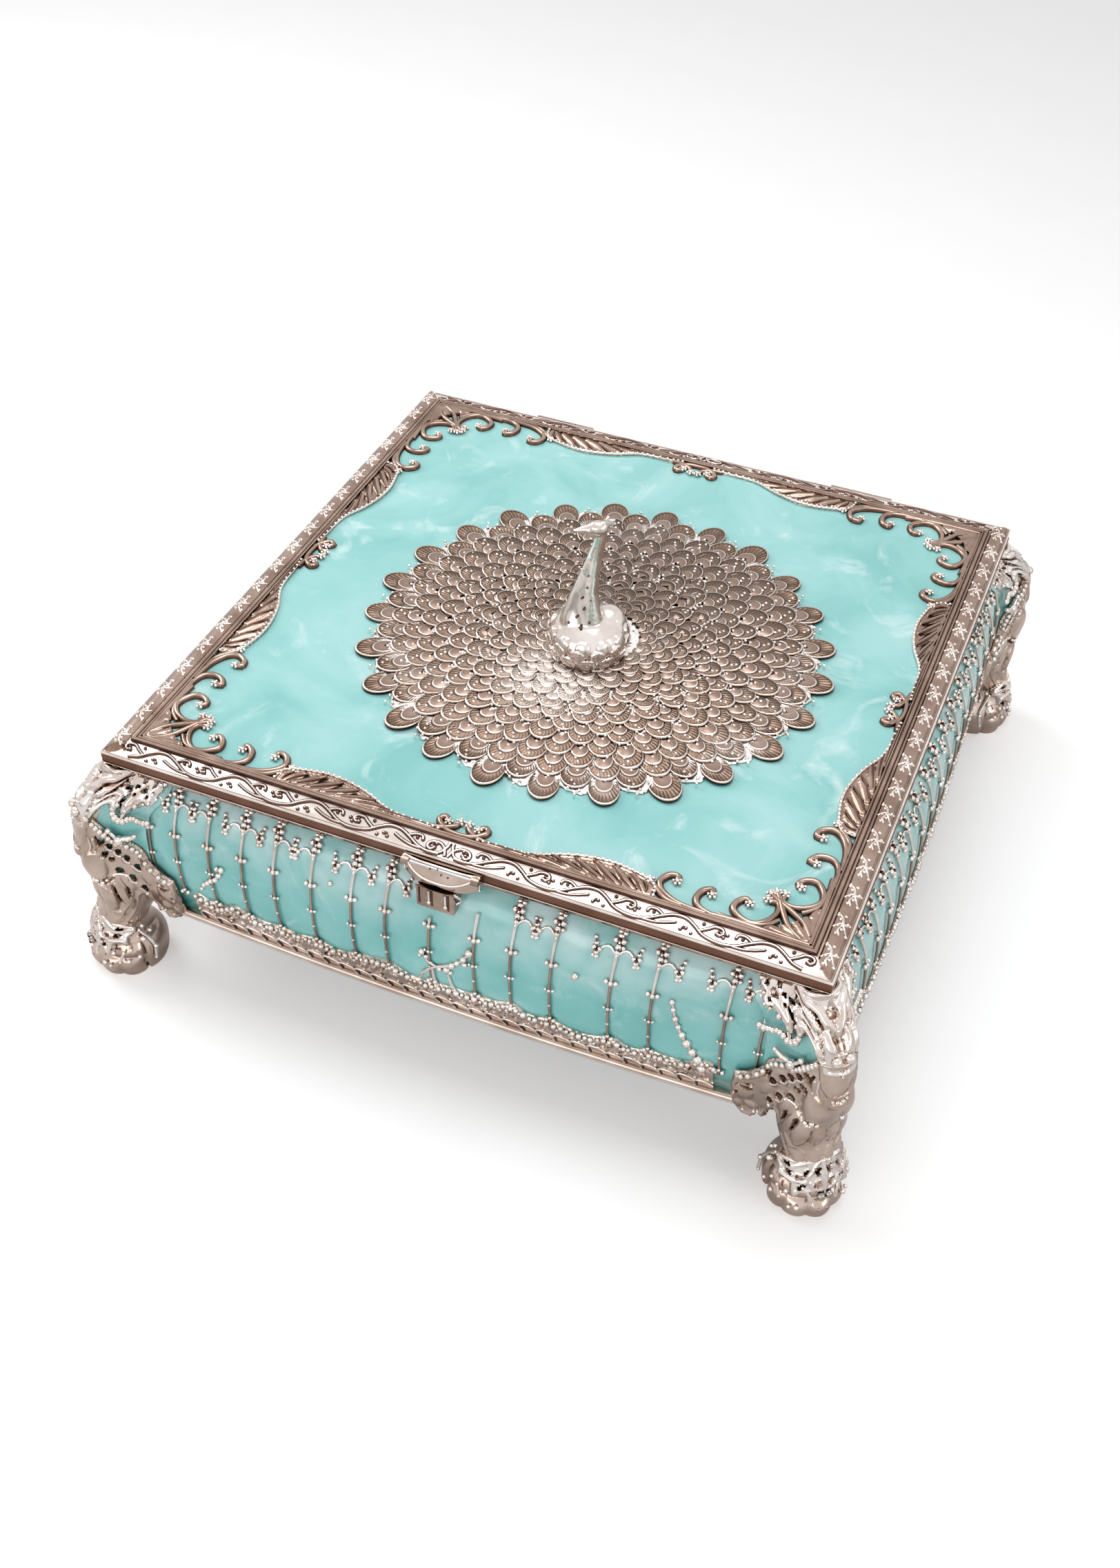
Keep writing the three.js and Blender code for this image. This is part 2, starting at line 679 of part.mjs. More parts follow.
// The bird: round body, rising neck, small head and raised tail; it looks along -X before its turn
function birdFinial() {
  const body = turned([
    [0, 0],
    [finialBodyRadius - 2.2, 0],
    [finialBodyRadius - 0.4, 3],
    [finialBodyRadius, 6],
    [finialBodyRadius - 1.4, 9.5],
    [finialBodyRadius - 4, 12.5],
    [0, 14.5],
  ], 16);
  const neckTop = finialHeight - 5.5;
  const neckPoints = [[-2, 0.17], [-3.2, 0.34], [-2.6, 0.5], [-0.6, 0.7], [1, 0.87], [1.6, 1]];
  const neckLine = new THREE.CatmullRomCurve3(
    neckPoints.map(([x, share]) => new THREE.Vector3(x, 0, share * neckTop)),
  );
  const neckRadii = [6.8, 5.2, 3.7, 2.6, 1.9, 1.6, 1.5, 1.6];
  const rings = neckRadii.map((radius, i) => {
    const place = neckLine.getPoint(i / (neckRadii.length - 1));
    const ring = [];
    for (let k = 0; k < 10; k += 1) {
      const angle = (2 * Math.PI * k) / 10;
      ring.push([place.x + radius * Math.cos(angle), radius * Math.sin(angle), place.z]);
    }
    return ring;
  });
  const neck = loft(rings, rings[0]);
  const head = ellipsoid([3.4, 2.6, 2.7], [0.8, 0, finialHeight - 4.4]);
  const beak = loft([beakRing(0, 1.5), beakRing(-5.6, 0.35)], beakRing(0, 1.5).map(([, y, z]) => [y, z]));
  const crest = ellipsoid([2.4, 0.8, 2.2], [2.9, 0, finialHeight - 2.2], 8, 6);
  const tail = ellipsoid([5.6, 6.4, 7.6], [5.4, 0, 11.6], 12, 8)
    .subtract(ellipsoid([4.4, 4.6, 6.4], [2.6, -2.6, 15.6], 12, 8));
  const bird = joined([body, neck, head, beak, crest, tail]);
  const turn = THREE.MathUtils.degToRad(finialTurn);
  const standing = geometryOf(bird).rotateZ(turn).translate(finialCentre[0], finialCentre[1], rosetteTop);
  const stud = disc(studRadius, studBottom, rosetteTop + 4, 12, finialCentre);
  return solidOf(standing).add(stud);
}

function beakRing(x, radius) {
  const ring = [];
  for (let k = 0; k < 6; k += 1) {
    const angle = (Math.PI * k) / 3;
    ring.push([x - 1, radius * Math.cos(angle), finialHeight - 4.8 + 0.12 * x + radius * Math.sin(angle)]);
  }
  return ring;
}

function finialWasher() {
  return disc(washerRadius, backingBottom - washerThickness, backingBottom, 16, finialCentre)
    .subtract(disc(studRadius + pinGap, 0, enamelTop, 12, finialCentre));
}

function finialNut() {
  const top = backingBottom - washerThickness;
  const cornerRadius = nutFlats / Math.sqrt(3);
  return disc(cornerRadius, top - nutHeight, top, 6, finialCentre)
    .subtract(disc(studRadius + pinGap, 0, enamelTop, 12, finialCentre));
}

function lidLining() {
  return plate(square(ledgeInner - workingGap), backingBottom - lidLiningThickness, backingBottom)
    .subtract(disc(washerRadius + 1, 0, enamelTop, 16, finialCentre));
}

// Base half of a hinge: a block on the mouth frame and two outer knuckles
function hingeBaseLeaf() {
  const half = hingeLength / 2;
  const blockBack = hingeAxisY - knuckleRadius - hingeGap;
  const webBottom = seatHeight - knuckleRadius + hingeGap;
  const block = box([-half, mouthOuter, mouthBottom + hingeGap], [half, blockBack, seatHeight - hingeGap]);
  const knuckles = [[-half, -half + knuckleLength], [half - knuckleLength, half]].flatMap(([start, end]) => [
    rodAlongX(knuckleRadius, start, end, hingeAxisY, seatHeight),
    box([start, blockBack - 0.5, webBottom], [end, hingeAxisY, seatHeight - hingeGap]),
  ]);
  return joined([block, ...knuckles]).subtract(hingeBore());
}

// Lid half: a thin leaf on the back of the rim and one middle knuckle
function hingeLidLeaf() {
  const half = hingeLength / 2;
  const middle = half - knuckleLength - hingeGap;
  const leafBack = lidHalf + hingeLeafThickness;
  const bottom = seatHeight + hingeGap;
  const leaf = box([-half, lidHalf, bottom], [half, leafBack, bottom + hingeLeafHeight]);
  const web = box([-middle, leafBack - overlap, bottom], [middle, hingeAxisY, bottom + hingeWebHeight]);
  const knuckle = rodAlongX(knuckleRadius, -middle, middle, hingeAxisY, seatHeight);
  return joined([leaf, web, knuckle]).subtract(hingeBore());
}

function hingeBore() {
  return rodAlongX(hingePinRadius + pinGap, -hingeLength, hingeLength, hingeAxisY, seatHeight);
}

function hingePin() {
  const half = hingeLength / 2 + 0.4;
  return rodAlongX(hingePinRadius, -half, half, hingeAxisY, seatHeight);
}

// The clasp's backplate on the front of the rim, with an ear at each end
function claspPlate() {
  const half = claspWidth / 2;
  const front = -lidHalf - claspPlateThickness;
  const sheet = box([-half, front, seatHeight + workingGap], [half, -lidHalf, rimTop]);
  const ears = [[-half, -half + claspEarLength], [half - claspEarLength, half]].flatMap(([start, end]) => [
    rodAlongX(claspBarrelRadius, start, end, claspAxisY, claspAxisZ),
    box([start, claspAxisY, claspAxisZ - earWebHalf], [end, front + overlap, claspAxisZ + earWebHalf]),
  ]);
  return joined([sheet, ...ears]).subtract(claspBore());
}

function claspBore() {
  return rodAlongX(claspPinRadius + claspPinGap, -claspWidth, claspWidth, claspAxisY, claspAxisZ);
}

function claspPin() {
  const half = claspWidth / 2;
  return rodAlongX(claspPinRadius, -half, half, claspAxisY, claspAxisZ);
}

// The hood that hangs over the keeper and swings up on the clasp pin
function claspFlap() {
  const half = claspWidth / 2;
  const inner = -lidHalf - claspPlateThickness - workingGap - overlap;
  const front = -lidHalf - claspDepth;
  const bottom = rimTop - claspHeight;
  const barrelHalf = half - claspEarLength - workingGap;
  const section = [
    [inner, bottom],
    [front + 0.4, bottom],
    [front, bottom + 0.4],
    [front, bottom + 2],
    [claspAxisY - 0.9, claspAxisZ + 0.9],
    [claspAxisY, claspAxisZ + claspBarrelRadius],
    [inner, claspAxisZ],
  ];
  const hood = barAlongX(section, -half, half);
  const earRoom = [[-half - 1, -barrelHalf], [barrelHalf, half + 1]].flatMap(([start, end]) => [
    rodAlongX(claspBarrelRadius + workingGap, start, end, claspAxisY, claspAxisZ),
    box([start, claspAxisY, claspAxisZ - 1.2], [end, -lidHalf, claspAxisZ + 2]),
  ]);
  const barrel = rodAlongX(claspBarrelRadius, -barrelHalf, barrelHalf, claspAxisY, claspAxisZ);
  const chamfer = claspChamfer;
  const ends = [-1, 1].map((side) => plate([
    [side * (half + 1), front - 1],
    [side * (half - chamfer), front - 1],
    [side * (half + 0.1), front + chamfer],
    [side * (half + 1), front + chamfer],
  ], bottom - 1, rimTop + 1));
  const tongueRoom = box(
    [-keeperTongueWidth / 2 - workingGap, tongueFront - workingGap, bottom - 1],
    [keeperTongueWidth / 2 + workingGap, -lidHalf, tongueTop + workingGap],
  );
  const cuts = [...earRoom, ...ends, tongueRoom, claspBore()];
  return cuts.reduce((rest, cut) => rest.subtract(cut), hood.add(barrel));
}

// The keeper under the flap: an arm from the mouth frame, a block over the wall and a tongue into the flap
function claspKeeper() {
  const half = keeperWidth / 2;
  const flapBottom = rimTop - claspHeight;
  const top = flapBottom - workingGap;
  const bottom = top - keeperHeight;
  const front = -lidHalf - claspDepth - 0.2;
  const armFront = -lidHalf - claspPlateThickness - workingGap;
  const arm = box([-half, armFront, mouthBottom + 0.2], [half, -mouthOuter, seatHeight - workingGap]);
  const block = box([-half, front, bottom], [half, armFront + 0.5, top]);
  const tongueHalf = keeperTongueWidth / 2;
  const tongue = box([-tongueHalf, tongueFront, top - 1], [tongueHalf, tongueBack, tongueTop]);
  const ribs = [-1, 1].flatMap((side) => {
    const middle = side * 0.55 * half;
    return [
      box([middle - 0.5, front - keeperRibDepth, bottom + 0.6], [middle + 0.5, front + 1, top - 0.8]),
      ellipsoid([1.2, 1, 1], [side * half, front + 0.9, bottom + 0.7], 8, 6),
    ];
  });
  const wallRoom = wallSkin(-claspWidth, claspWidth, -keeperRoomDepth, workingGap, railTop, mouthBottom, 4);
  return joined([arm, block, tongue, ...ribs]).subtract(wallRoom);
}

// Assembly
const casket = new THREE.Group();

function addPiece(parent, name, solid, finish, turn = 0) {
  const mesh = new THREE.Mesh(geometryOf(solid), new THREE.MeshStandardMaterial(finish));
  mesh.name = name;
  mesh.rotation.z = turn;
  parent.add(mesh);
  return mesh;
}

function addBase() {
  const base = new THREE.Group();
  addPiece(base, 'floor_plate', floorPlate(), steel);
  addPiece(base, 'mouth_frame', mouthFrame(), rosePlate);
  addPiece(base, 'floor_lining', floorLining(), velvet);
  const wall = enamelWall();
  const band = leafBand();
  const rail = bottomRail();
  const board = wallLining();
  sideNames.forEach((side, k) => {
    addPiece(base, `${side}_wall`, wall, enamel, k * quarterTurn);
    addPiece(base, `${side}_leaf_band`, band, rosePlate, k * quarterTurn);
    addPiece(base, `${side}_bottom_rail`, rail, rosePlate, k * quarterTurn);
    addPiece(base, `${side}_wall_lining`, board, velvet, k * quarterTurn);
  });
  const leg = cornerLeg();
  const screw = legScrew();
  cornerNames.forEach((corner, k) => {
    addPiece(base, `${corner}_leg`, leg, rosePlate, k * quarterTurn);
    addPiece(base, `${corner}_leg_screw`, screw, steel, k * quarterTurn);
  });
  addPiece(base, 'clasp_keeper', claspKeeper(), rosePlate);
  casket.add(base);
}

function addLid() {
  const lid = new THREE.Group();
  addPiece(lid, 'lid_frame', lidFrame(), rosePlate);
  const studHole = studRadius + pinGap;
  addPiece(lid, 'lid_backing_plate', lidSheet(sheetHalf, backingBottom, enamelBottom, studHole), steel);
  addPiece(lid, 'lid_enamel_panel', lidSheet(sheetHalf, enamelBottom, enamelTop, studHole), enamel);
  addPiece(lid, 'lid_lining', lidLining(), velvet);
  addPiece(lid, 'feather_rosette', featherRosette(), brownPlate);
  const corner = cornerScroll();
  const side = sideScroll();
  cornerNames.forEach((name, k) => addPiece(lid, `${name}_scroll`, corner, rosePlate, k * quarterTurn));
  sideNames.forEach((name, k) => addPiece(lid, `${name}_scroll`, side, rosePlate, k * quarterTurn));
  addPiece(lid, 'bird_finial', birdFinial(), brightPlate);
  addPiece(lid, 'finial_washer', finialWasher(), steel);
  addPiece(lid, 'finial_nut', finialNut(), steel);
  addPiece(lid, 'clasp_plate', claspPlate(), rosePlate);
  addPiece(lid, 'clasp_pin', claspPin(), steel);
  casket.add(lid);
}

function addHinges() {
  [['left', -1], ['right', 1]].forEach(([name, way]) => {
    const hinge = new THREE.Group();
    hinge.position.x = (way * hingeSpacing) / 2;
    addPiece(hinge, `${name}_hinge_base_leaf`, hingeBaseLeaf(), rosePlate);
    addPiece(hinge, `${name}_hinge_lid_leaf`, hingeLidLeaf(), rosePlate);
    addPiece(hinge, `${name}_hinge_pin`, hingePin(), steel);
    casket.add(hinge);
  });
}

addBase();
addLid();
addHinges();
addPiece(casket, 'clasp_flap', claspFlap(), rosePlate);

export default casket;
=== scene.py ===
import math

import bmesh
import bpy
import numpy as np
from mathutils import Matrix, Vector, noise


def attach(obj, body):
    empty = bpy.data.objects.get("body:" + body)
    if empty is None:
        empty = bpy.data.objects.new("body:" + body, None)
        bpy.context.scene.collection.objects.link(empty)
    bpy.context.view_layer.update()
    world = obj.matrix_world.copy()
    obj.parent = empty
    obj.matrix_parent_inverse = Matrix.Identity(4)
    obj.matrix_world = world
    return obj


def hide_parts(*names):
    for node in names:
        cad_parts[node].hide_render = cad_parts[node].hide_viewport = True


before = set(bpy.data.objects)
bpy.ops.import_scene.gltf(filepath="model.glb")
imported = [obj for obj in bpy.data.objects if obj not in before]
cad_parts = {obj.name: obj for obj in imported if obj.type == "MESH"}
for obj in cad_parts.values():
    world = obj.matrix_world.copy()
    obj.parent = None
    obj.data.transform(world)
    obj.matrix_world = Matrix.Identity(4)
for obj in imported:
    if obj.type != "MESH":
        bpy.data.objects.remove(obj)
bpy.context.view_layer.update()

# Square footed keepsake casket. Sizes in the dictionaries are millimetres, as in the CAD frame.
mm = 0.001
tau = 2 * math.pi

# The CAD's own sizes that the dressed pieces sit on
casket = {
    "lidHalf": 101.5, "enamelTop": 79.6, "sheetHalf": 93.2, "railTop": 26.2, "mouthBottom": 72.0,
    "wallHeight": 45.8, "wallBow": 2.5, "wallHalf": 91.0, "legAxis": 101.0, "postInner": 91.3,
    "wallLevels": [(0, 2.2), (0.1, 3.4), (0.25, 4.6), (0.5, 5.4), (0.75, 4.6), (0.88, 2.6), (0.95, 0.4),
                   (1, -2.6)],
}


# Node helper, colours and materials

def addNode(tree, kind, inputs=None, **settings):
    node = tree.nodes.new(kind)
    for name, value in settings.items():
        setattr(node, name, value)
    for key, value in (inputs or {}).items():
        if isinstance(value, bpy.types.NodeSocket):
            tree.links.new(value, node.inputs[key])
        else:
            node.inputs[key].default_value = value
    return node


def linear(hexText):
    channels = [int(hexText[i:i + 2], 16) / 255 for i in (1, 3, 5)]
    return [c / 12.92 if c <= 0.04045 else ((c + 0.055) / 1.055) ** 2.4 for c in channels] + [1.0]


# The colour sockets of a Mix node that mixes colours, by number because their names are shared
mixA, mixB, mixed = 6, 7, 2


def newMaterial(name):
    material = bpy.data.materials.new(name)
    material.use_nodes = True
    tree = material.node_tree
    tree.nodes.clear()
    shader = addNode(tree, "ShaderNodeBsdfPrincipled")
    addNode(tree, "ShaderNodeOutputMaterial", {"Surface": shader.outputs["BSDF"]})
    place = addNode(tree, "ShaderNodeTexCoord").outputs["Object"]
    return material, tree, shader, place


def endSurface(tree, shader, colour, roughness, metallic, height, strength, depth):
    bump = addNode(tree, "ShaderNodeBump", {"Height": height, "Strength": strength, "Distance": depth * mm})
    tree.links.new(colour, shader.inputs["Base Color"])
    tree.links.new(bump.outputs["Normal"], shader.inputs["Normal"])
    shader.inputs["Metallic"].default_value = metallic
    shader.inputs["Roughness"].default_value = roughness
    return bump


def ramp(tree, value, stops):
    node = addNode(tree, "ShaderNodeValToRGB", {"Fac": value})
    while len(node.color_ramp.elements) < len(stops):
        node.color_ramp.elements.new(0.5)
    for element, (position, colour) in zip(node.color_ramp.elements, stops):
        element.position = position
        element.color = linear(colour)
    return node.outputs["Color"]


plating = {
    # cast zinc alloy with a rose nickel plate: taupe body, white glints, and brown patina in the creases,
    # darkened further as painted shade
    "rose": {"face": "#b39c8e", "worn": "#967e71", "creasePatinaAndShade": "#463229", "roughness": 0.2,
             "creaseDepth": 1.3, "bump": 0.12},
    # the same plate polished on raised work: nearly white, and partly a painted highlight
    "bright": {"face": "#f1e9e4", "worn": "#d9cac1", "creasePatinaAndShade": "#7a6154", "roughness": 0.13,
               "creaseDepth": 0.9, "bump": 0.06},
    # brown plate of the lid's rim face, partly its finish and partly painted shade for the dim reflection on
    # this upright face
    "brown": {"face": "#83604f", "worn": "#745243", "creasePatinaAndShade": "#5f4437", "roughness": 0.5,
              "creaseDepth": 0.5, "bump": 0.05},
    # the cast legs: a lighter copy of the rose plate, painted light for the highlights they catch
    "pale": {"face": "#cdb9ad", "worn": "#b5a093", "creasePatinaAndShade": "#54402f", "roughness": 0.2,
             "creaseDepth": 1.1, "bump": 0.1},
    # dark plate: painted shade along the foot of raised lines and in grooves, and small dark eyes
    "dark": {"face": "#6b5046", "worn": "#5a4238", "creasePatinaAndShade": "#2c1f19", "roughness": 0.35,
             "creaseDepth": 0.6, "bump": 0.05},
}


def platedMetal(name, look):
    material, tree, shader, place = newMaterial(name)
    cloud = addNode(tree, "ShaderNodeTexNoise", {
        "Vector": place, "Scale": 90.0, "Detail": 3.0, "Roughness": 0.6})
    tone = ramp(tree, cloud.outputs["Fac"], [(0.36, look["worn"]), (0.62, look["face"])])
    # painted shade and patina: the colour darkens to the crease colour where ambient occlusion finds hollows
    hollow = addNode(tree, "ShaderNodeAmbientOcclusion", {
        "Distance": look["creaseDepth"] * mm}, samples=4, only_local=True)
    depth = addNode(tree, "ShaderNodeMapRange", {
        "Value": hollow.outputs["AO"], "From Min": 0.3, "From Max": 0.85})
    shaded = addNode(tree, "ShaderNodeMix", {
        "Factor": depth.outputs["Result"], mixA: linear(look["creasePatinaAndShade"]), mixB: tone}, data_type="RGBA")
    grain = addNode(tree, "ShaderNodeTexNoise", {"Vector": place, "Scale": 520.0, "Detail": 2.0})
    endSurface(tree, shader, shaded.outputs[mixed], look["roughness"], 1.0, grain.outputs["Fac"],
               look["bump"], 0.15)
    return material


def turquoiseEnamel(name, pale, middle, deep, cloudAndSheen, shadeBelow=None, highlightAbove=None):
    # hand-poured enamel: milky clouds under a wet gloss, their white wisps partly painted reflection; it may
    # be painted darker low on the wall as shade behind the leaf band, and paler towards the top as a painted
    # highlight
    material, tree, shader, place = newMaterial(name)
    cloud = addNode(tree, "ShaderNodeTexNoise", {
        "Vector": place, "Scale": 26.0, "Detail": 4.0, "Roughness": 0.55, "Distortion": 0.8})
    body = ramp(tree, cloud.outputs["Fac"], [(0.3, deep), (0.5, middle), (0.7, pale)])
    # white wisps: partly cloud in the enamel, partly painted reflection
    wisp = addNode(tree, "ShaderNodeTexNoise", {
        "Vector": place, "Scale": 44.0, "Detail": 5.0, "Roughness": 0.62, "Distortion": 1.6})
    amount = addNode(tree, "ShaderNodeMapRange", {
        "Value": wisp.outputs["Fac"], "From Min": 0.56, "From Max": 0.78})
    clouded = addNode(tree, "ShaderNodeMix", {
        "Factor": amount.outputs["Result"], mixA: body, mixB: linear(cloudAndSheen)}, data_type="RGBA")
    result = clouded.outputs[mixed]
    # painted shade: darker low on the wall, seen through the leaf band's holes
    if shadeBelow:
        apart = addNode(tree, "ShaderNodeSeparateXYZ", {"Vector": place})
        share = addNode(tree, "ShaderNodeMapRange", {
            "Value": apart.outputs["Z"], "From Min": shadeBelow["low"] * mm,
            "From Max": shadeBelow["high"] * mm,
        })
        shadedLow = addNode(tree, "ShaderNodeMix", {
            "Factor": share.outputs["Result"], mixA: linear(shadeBelow["colour"]), mixB: result},
            data_type="RGBA")
        result = shadedLow.outputs[mixed]
    # painted highlight: paler in patches towards the top of the wall
    if highlightAbove:
        height = addNode(tree, "ShaderNodeMapRange", {
            "Value": apart.outputs["Z"], "From Min": highlightAbove["low"] * mm,
            "From Max": highlightAbove["high"] * mm})
        highlightPatches = addNode(tree, "ShaderNodeTexNoise", {
            "Vector": place, "Scale": 62.0, "Detail": 3.0, "Distortion": 0.6})
        highlightShare = addNode(tree, "ShaderNodeMapRange", {
            "Value": highlightPatches.outputs["Fac"], "From Min": 0.4, "From Max": 0.62, "To Min": 0.25})
        amount = addNode(tree, "ShaderNodeMath", {
            0: height.outputs["Result"], 1: highlightShare.outputs["Result"]}, operation="MULTIPLY")
        highlightMix = addNode(tree, "ShaderNodeMix", {
            "Factor": amount.outputs[0], mixA: result, mixB: linear(highlightAbove["colour"])}, data_type="RGBA")
        result = highlightMix.outputs[mixed]
    shader.inputs["Coat Weight"].default_value = 0.5
    shader.inputs["Coat Roughness"].default_value = 0.08
    wave = addNode(tree, "ShaderNodeTexNoise", {"Vector": place, "Scale": 120.0, "Detail": 2.0})
    endSurface(tree, shader, result, 0.22, 0.0, wave.outputs["Fac"], 0.25, 0.3)
    return material


def steelMaterial():
    # plain turned and brushed steel of the screws, nut and hidden plates
    material, tree, shader, place = newMaterial("brushedSteel")
    stretched = addNode(tree, "ShaderNodeMapping", {"Vector": place, "Scale": (60.0, 1400.0, 1400.0)})
    lines = addNode(tree, "ShaderNodeTexNoise", {
        "Vector": stretched.outputs["Vector"], "Scale": 1.0, "Detail": 3.0})
    tone = ramp(tree, lines.outputs["Fac"], [(0.35, "#a9aaad"), (0.65, "#c6c7c9")])
    endSurface(tree, shader, tone, 0.32, 1.0, lines.outputs["Fac"], 0.15, 0.05)
    return material


def velvetMaterial():
    # cut-pile velvet: dark teal ground with a pale sheen at the edges of each nap stroke
    material, tree, shader, place = newMaterial("tealVelvet")
    nap = addNode(tree, "ShaderNodeTexNoise", {
        "Vector": place, "Scale": 60.0, "Detail": 4.0, "Roughness": 0.7})
    tone = ramp(tree, nap.outputs["Fac"], [(0.35, "#245a5c"), (0.65, "#34787a")])
    shader.inputs["Sheen Weight"].default_value = 0.8
    shader.inputs["Sheen Roughness"].default_value = 0.35
    shader.inputs["Sheen Tint"].default_value = linear("#9fd0cf")
    pile = addNode(tree, "ShaderNodeTexNoise", {"Vector": place, "Scale": 1500.0, "Detail": 1.0})
    endSurface(tree, shader, tone, 0.9, 0.0, pile.outputs["Fac"], 0.5, 0.3)
    return material


roseMetal = platedMetal("rosePlate", plating["rose"])
brightMetal = platedMetal("brightPlate", plating["bright"])
brownMetal = platedMetal("brownPlate", plating["brown"])
paleMetal = platedMetal("palePlate", plating["pale"])
darkMetal = platedMetal("darkPlate", plating["dark"])
lidEnamel = turquoiseEnamel("lidEnamel", "#b0e2e1", "#9bd8d6", "#82c9c6", "#d8f3f3")
# the wall enamel gets painted shade low down and a painted highlight towards the top
wallEnamel = turquoiseEnamel("wallEnamel", "#a2e2e0", "#84d2cf", "#70c6c2", "#c4eeee",
                             {"low": 30.5, "high": 38.0, "colour": "#4a948c"},
                             {"low": 50.0, "high": 70.0, "colour": "#d4f3f3"})
steel = steelMaterial()
velvet = velvetMaterial()
print("materials made")


# Mesh helpers

def finishPiece(obj, body, nodes=()):
    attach(obj, body)
    if nodes:
        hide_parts(*nodes)


def inScene(name, data):
    obj = bpy.data.objects.new(name, data)
    bpy.context.scene.collection.objects.link(obj)
    return obj


def turnedCopy(obj, name, quarters):
    copy = inScene(name, obj.data.copy())
    copy.data.transform(Matrix.Rotation(quarters * math.pi / 2, 4, "Z"))
    copy.data.name = name
    return copy


def meshObject(name, vertices, faces, materials, sharpAngle=40, faceMaterial=None):
    mesh = bpy.data.meshes.new(name)
    mesh.from_pydata([tuple(c * mm for c in v) for v in vertices], [], [tuple(f) for f in faces])
    materials = materials if isinstance(materials, list) else [materials]
    for material in materials:
        mesh.materials.append(material)
    if faceMaterial is not None:
        mesh.polygons.foreach_set("material_index", faceMaterial)
    obj = inScene(name, mesh)
    smoothShading(mesh, sharpAngle)
    return obj


def smoothShading(mesh, sharpAngle):
    mesh.polygons.foreach_set("use_smooth", [True] * len(mesh.polygons))
    mesh.set_sharp_from_angle(angle=math.radians(sharpAngle))
    mesh.update()


def faceOutwards(obj):
    work = bmesh.new()
    work.from_mesh(obj.data)
    bmesh.ops.remove_doubles(work, verts=work.verts, dist=1e-6)
    bmesh.ops.recalc_face_normals(work, faces=work.faces)
    work.to_mesh(obj.data)
    work.free()


def joinPieces(name, objects):
    first = objects[0]
    if len(objects) > 1:
        with bpy.context.temp_override(active_object=first, selected_editable_objects=objects):
            bpy.ops.object.join()
    first.name = name
    first.data.name = name
    return first


# Rings of points joined by faces; closed means that the last ring meets the first
def ringFaces(rings, around, closed=False, capped=True):
    faces = []
    count = rings if closed else rings - 1
    for i in range(count):
        for k in range(around):
            a, b = i * around + k, i * around + (k + 1) % around
            c, d = ((i + 1) % rings) * around + (k + 1) % around, ((i + 1) % rings) * around + k
            faces.append((a, b, c, d))
    if capped and not closed:
        faces.append(tuple(reversed(range(around))))
        faces.append(tuple((rings - 1) * around + k for k in range(around)))
    return faces


# A list of values spread evenly from 0 to 1, read at a share of its length
def along(values, share):
    return np.interp(share, np.linspace(0, 1, len(values)), values)


def ringPoints(radius, z, around):
    return [(radius * math.cos(tau * k / around), radius * math.sin(tau * k / around), z)
            for k in range(around)]


def catmull(points, steps):
    points = [np.array(p, float) for p in points]
    padded = [2 * points[0] - points[1], *points, 2 * points[-1] - points[-2]]
    out = []
    for i in range(len(points) - 1):
        p0, p1, p2, p3 = padded[i:i + 4]
        for s in range(steps):
            t = s / steps
            out.append(0.5 * (2 * p1 + (p2 - p0) * t + (2 * p0 - 5 * p1 + 4 * p2 - p3) * t * t
                              + (3 * p1 - p0 - 3 * p2 + p3) * t ** 3))
    out.append(points[-1])
    return out


# Geometry Nodes trees

def newTree(name, inputs):
    tree = bpy.data.node_groups.new(name, "GeometryNodeTree")
    tree.is_modifier = True
    for label, kind in {"Geometry": "Geometry", **inputs, "Material": "Material"}.items():
        tree.interface.new_socket(label, in_out="INPUT", socket_type="NodeSocket" + kind)
    tree.interface.new_socket("Geometry", in_out="OUTPUT", socket_type="NodeSocketGeometry")
    return tree, addNode(tree, "NodeGroupInput"), addNode(tree, "NodeGroupOutput")


def endTree(tree, given, made, geometry):
    soft = addNode(tree, "GeometryNodeSetShadeSmooth", {"Geometry": geometry})
    painted = addNode(tree, "GeometryNodeSetMaterial", {
        "Geometry": soft.outputs["Geometry"], "Material": given.outputs["Material"]})
    tree.links.new(painted.outputs["Geometry"], made.inputs["Geometry"])
    return tree


def grow(name, source, tree, values):
    modifier = source.modifiers.new("grow", "NODES")
    modifier.node_group = tree
    for item in tree.interface.items_tree:
        if item.in_out == "INPUT" and item.name in values:
            modifier[item.identifier] = values[item.name]
    bpy.context.view_layer.update()
    evaluated = source.evaluated_get(bpy.context.evaluated_depsgraph_get())
    mesh = bpy.data.meshes.new_from_object(evaluated)
    mesh.name = name
    mesh.materials.clear()
    mesh.materials.append(values["Material"])
    mesh.polygons.foreach_set("material_index", [0] * len(mesh.polygons))
    obj = inScene(name, mesh)
    bpy.data.objects.remove(source)
    obj.name = name
    return obj


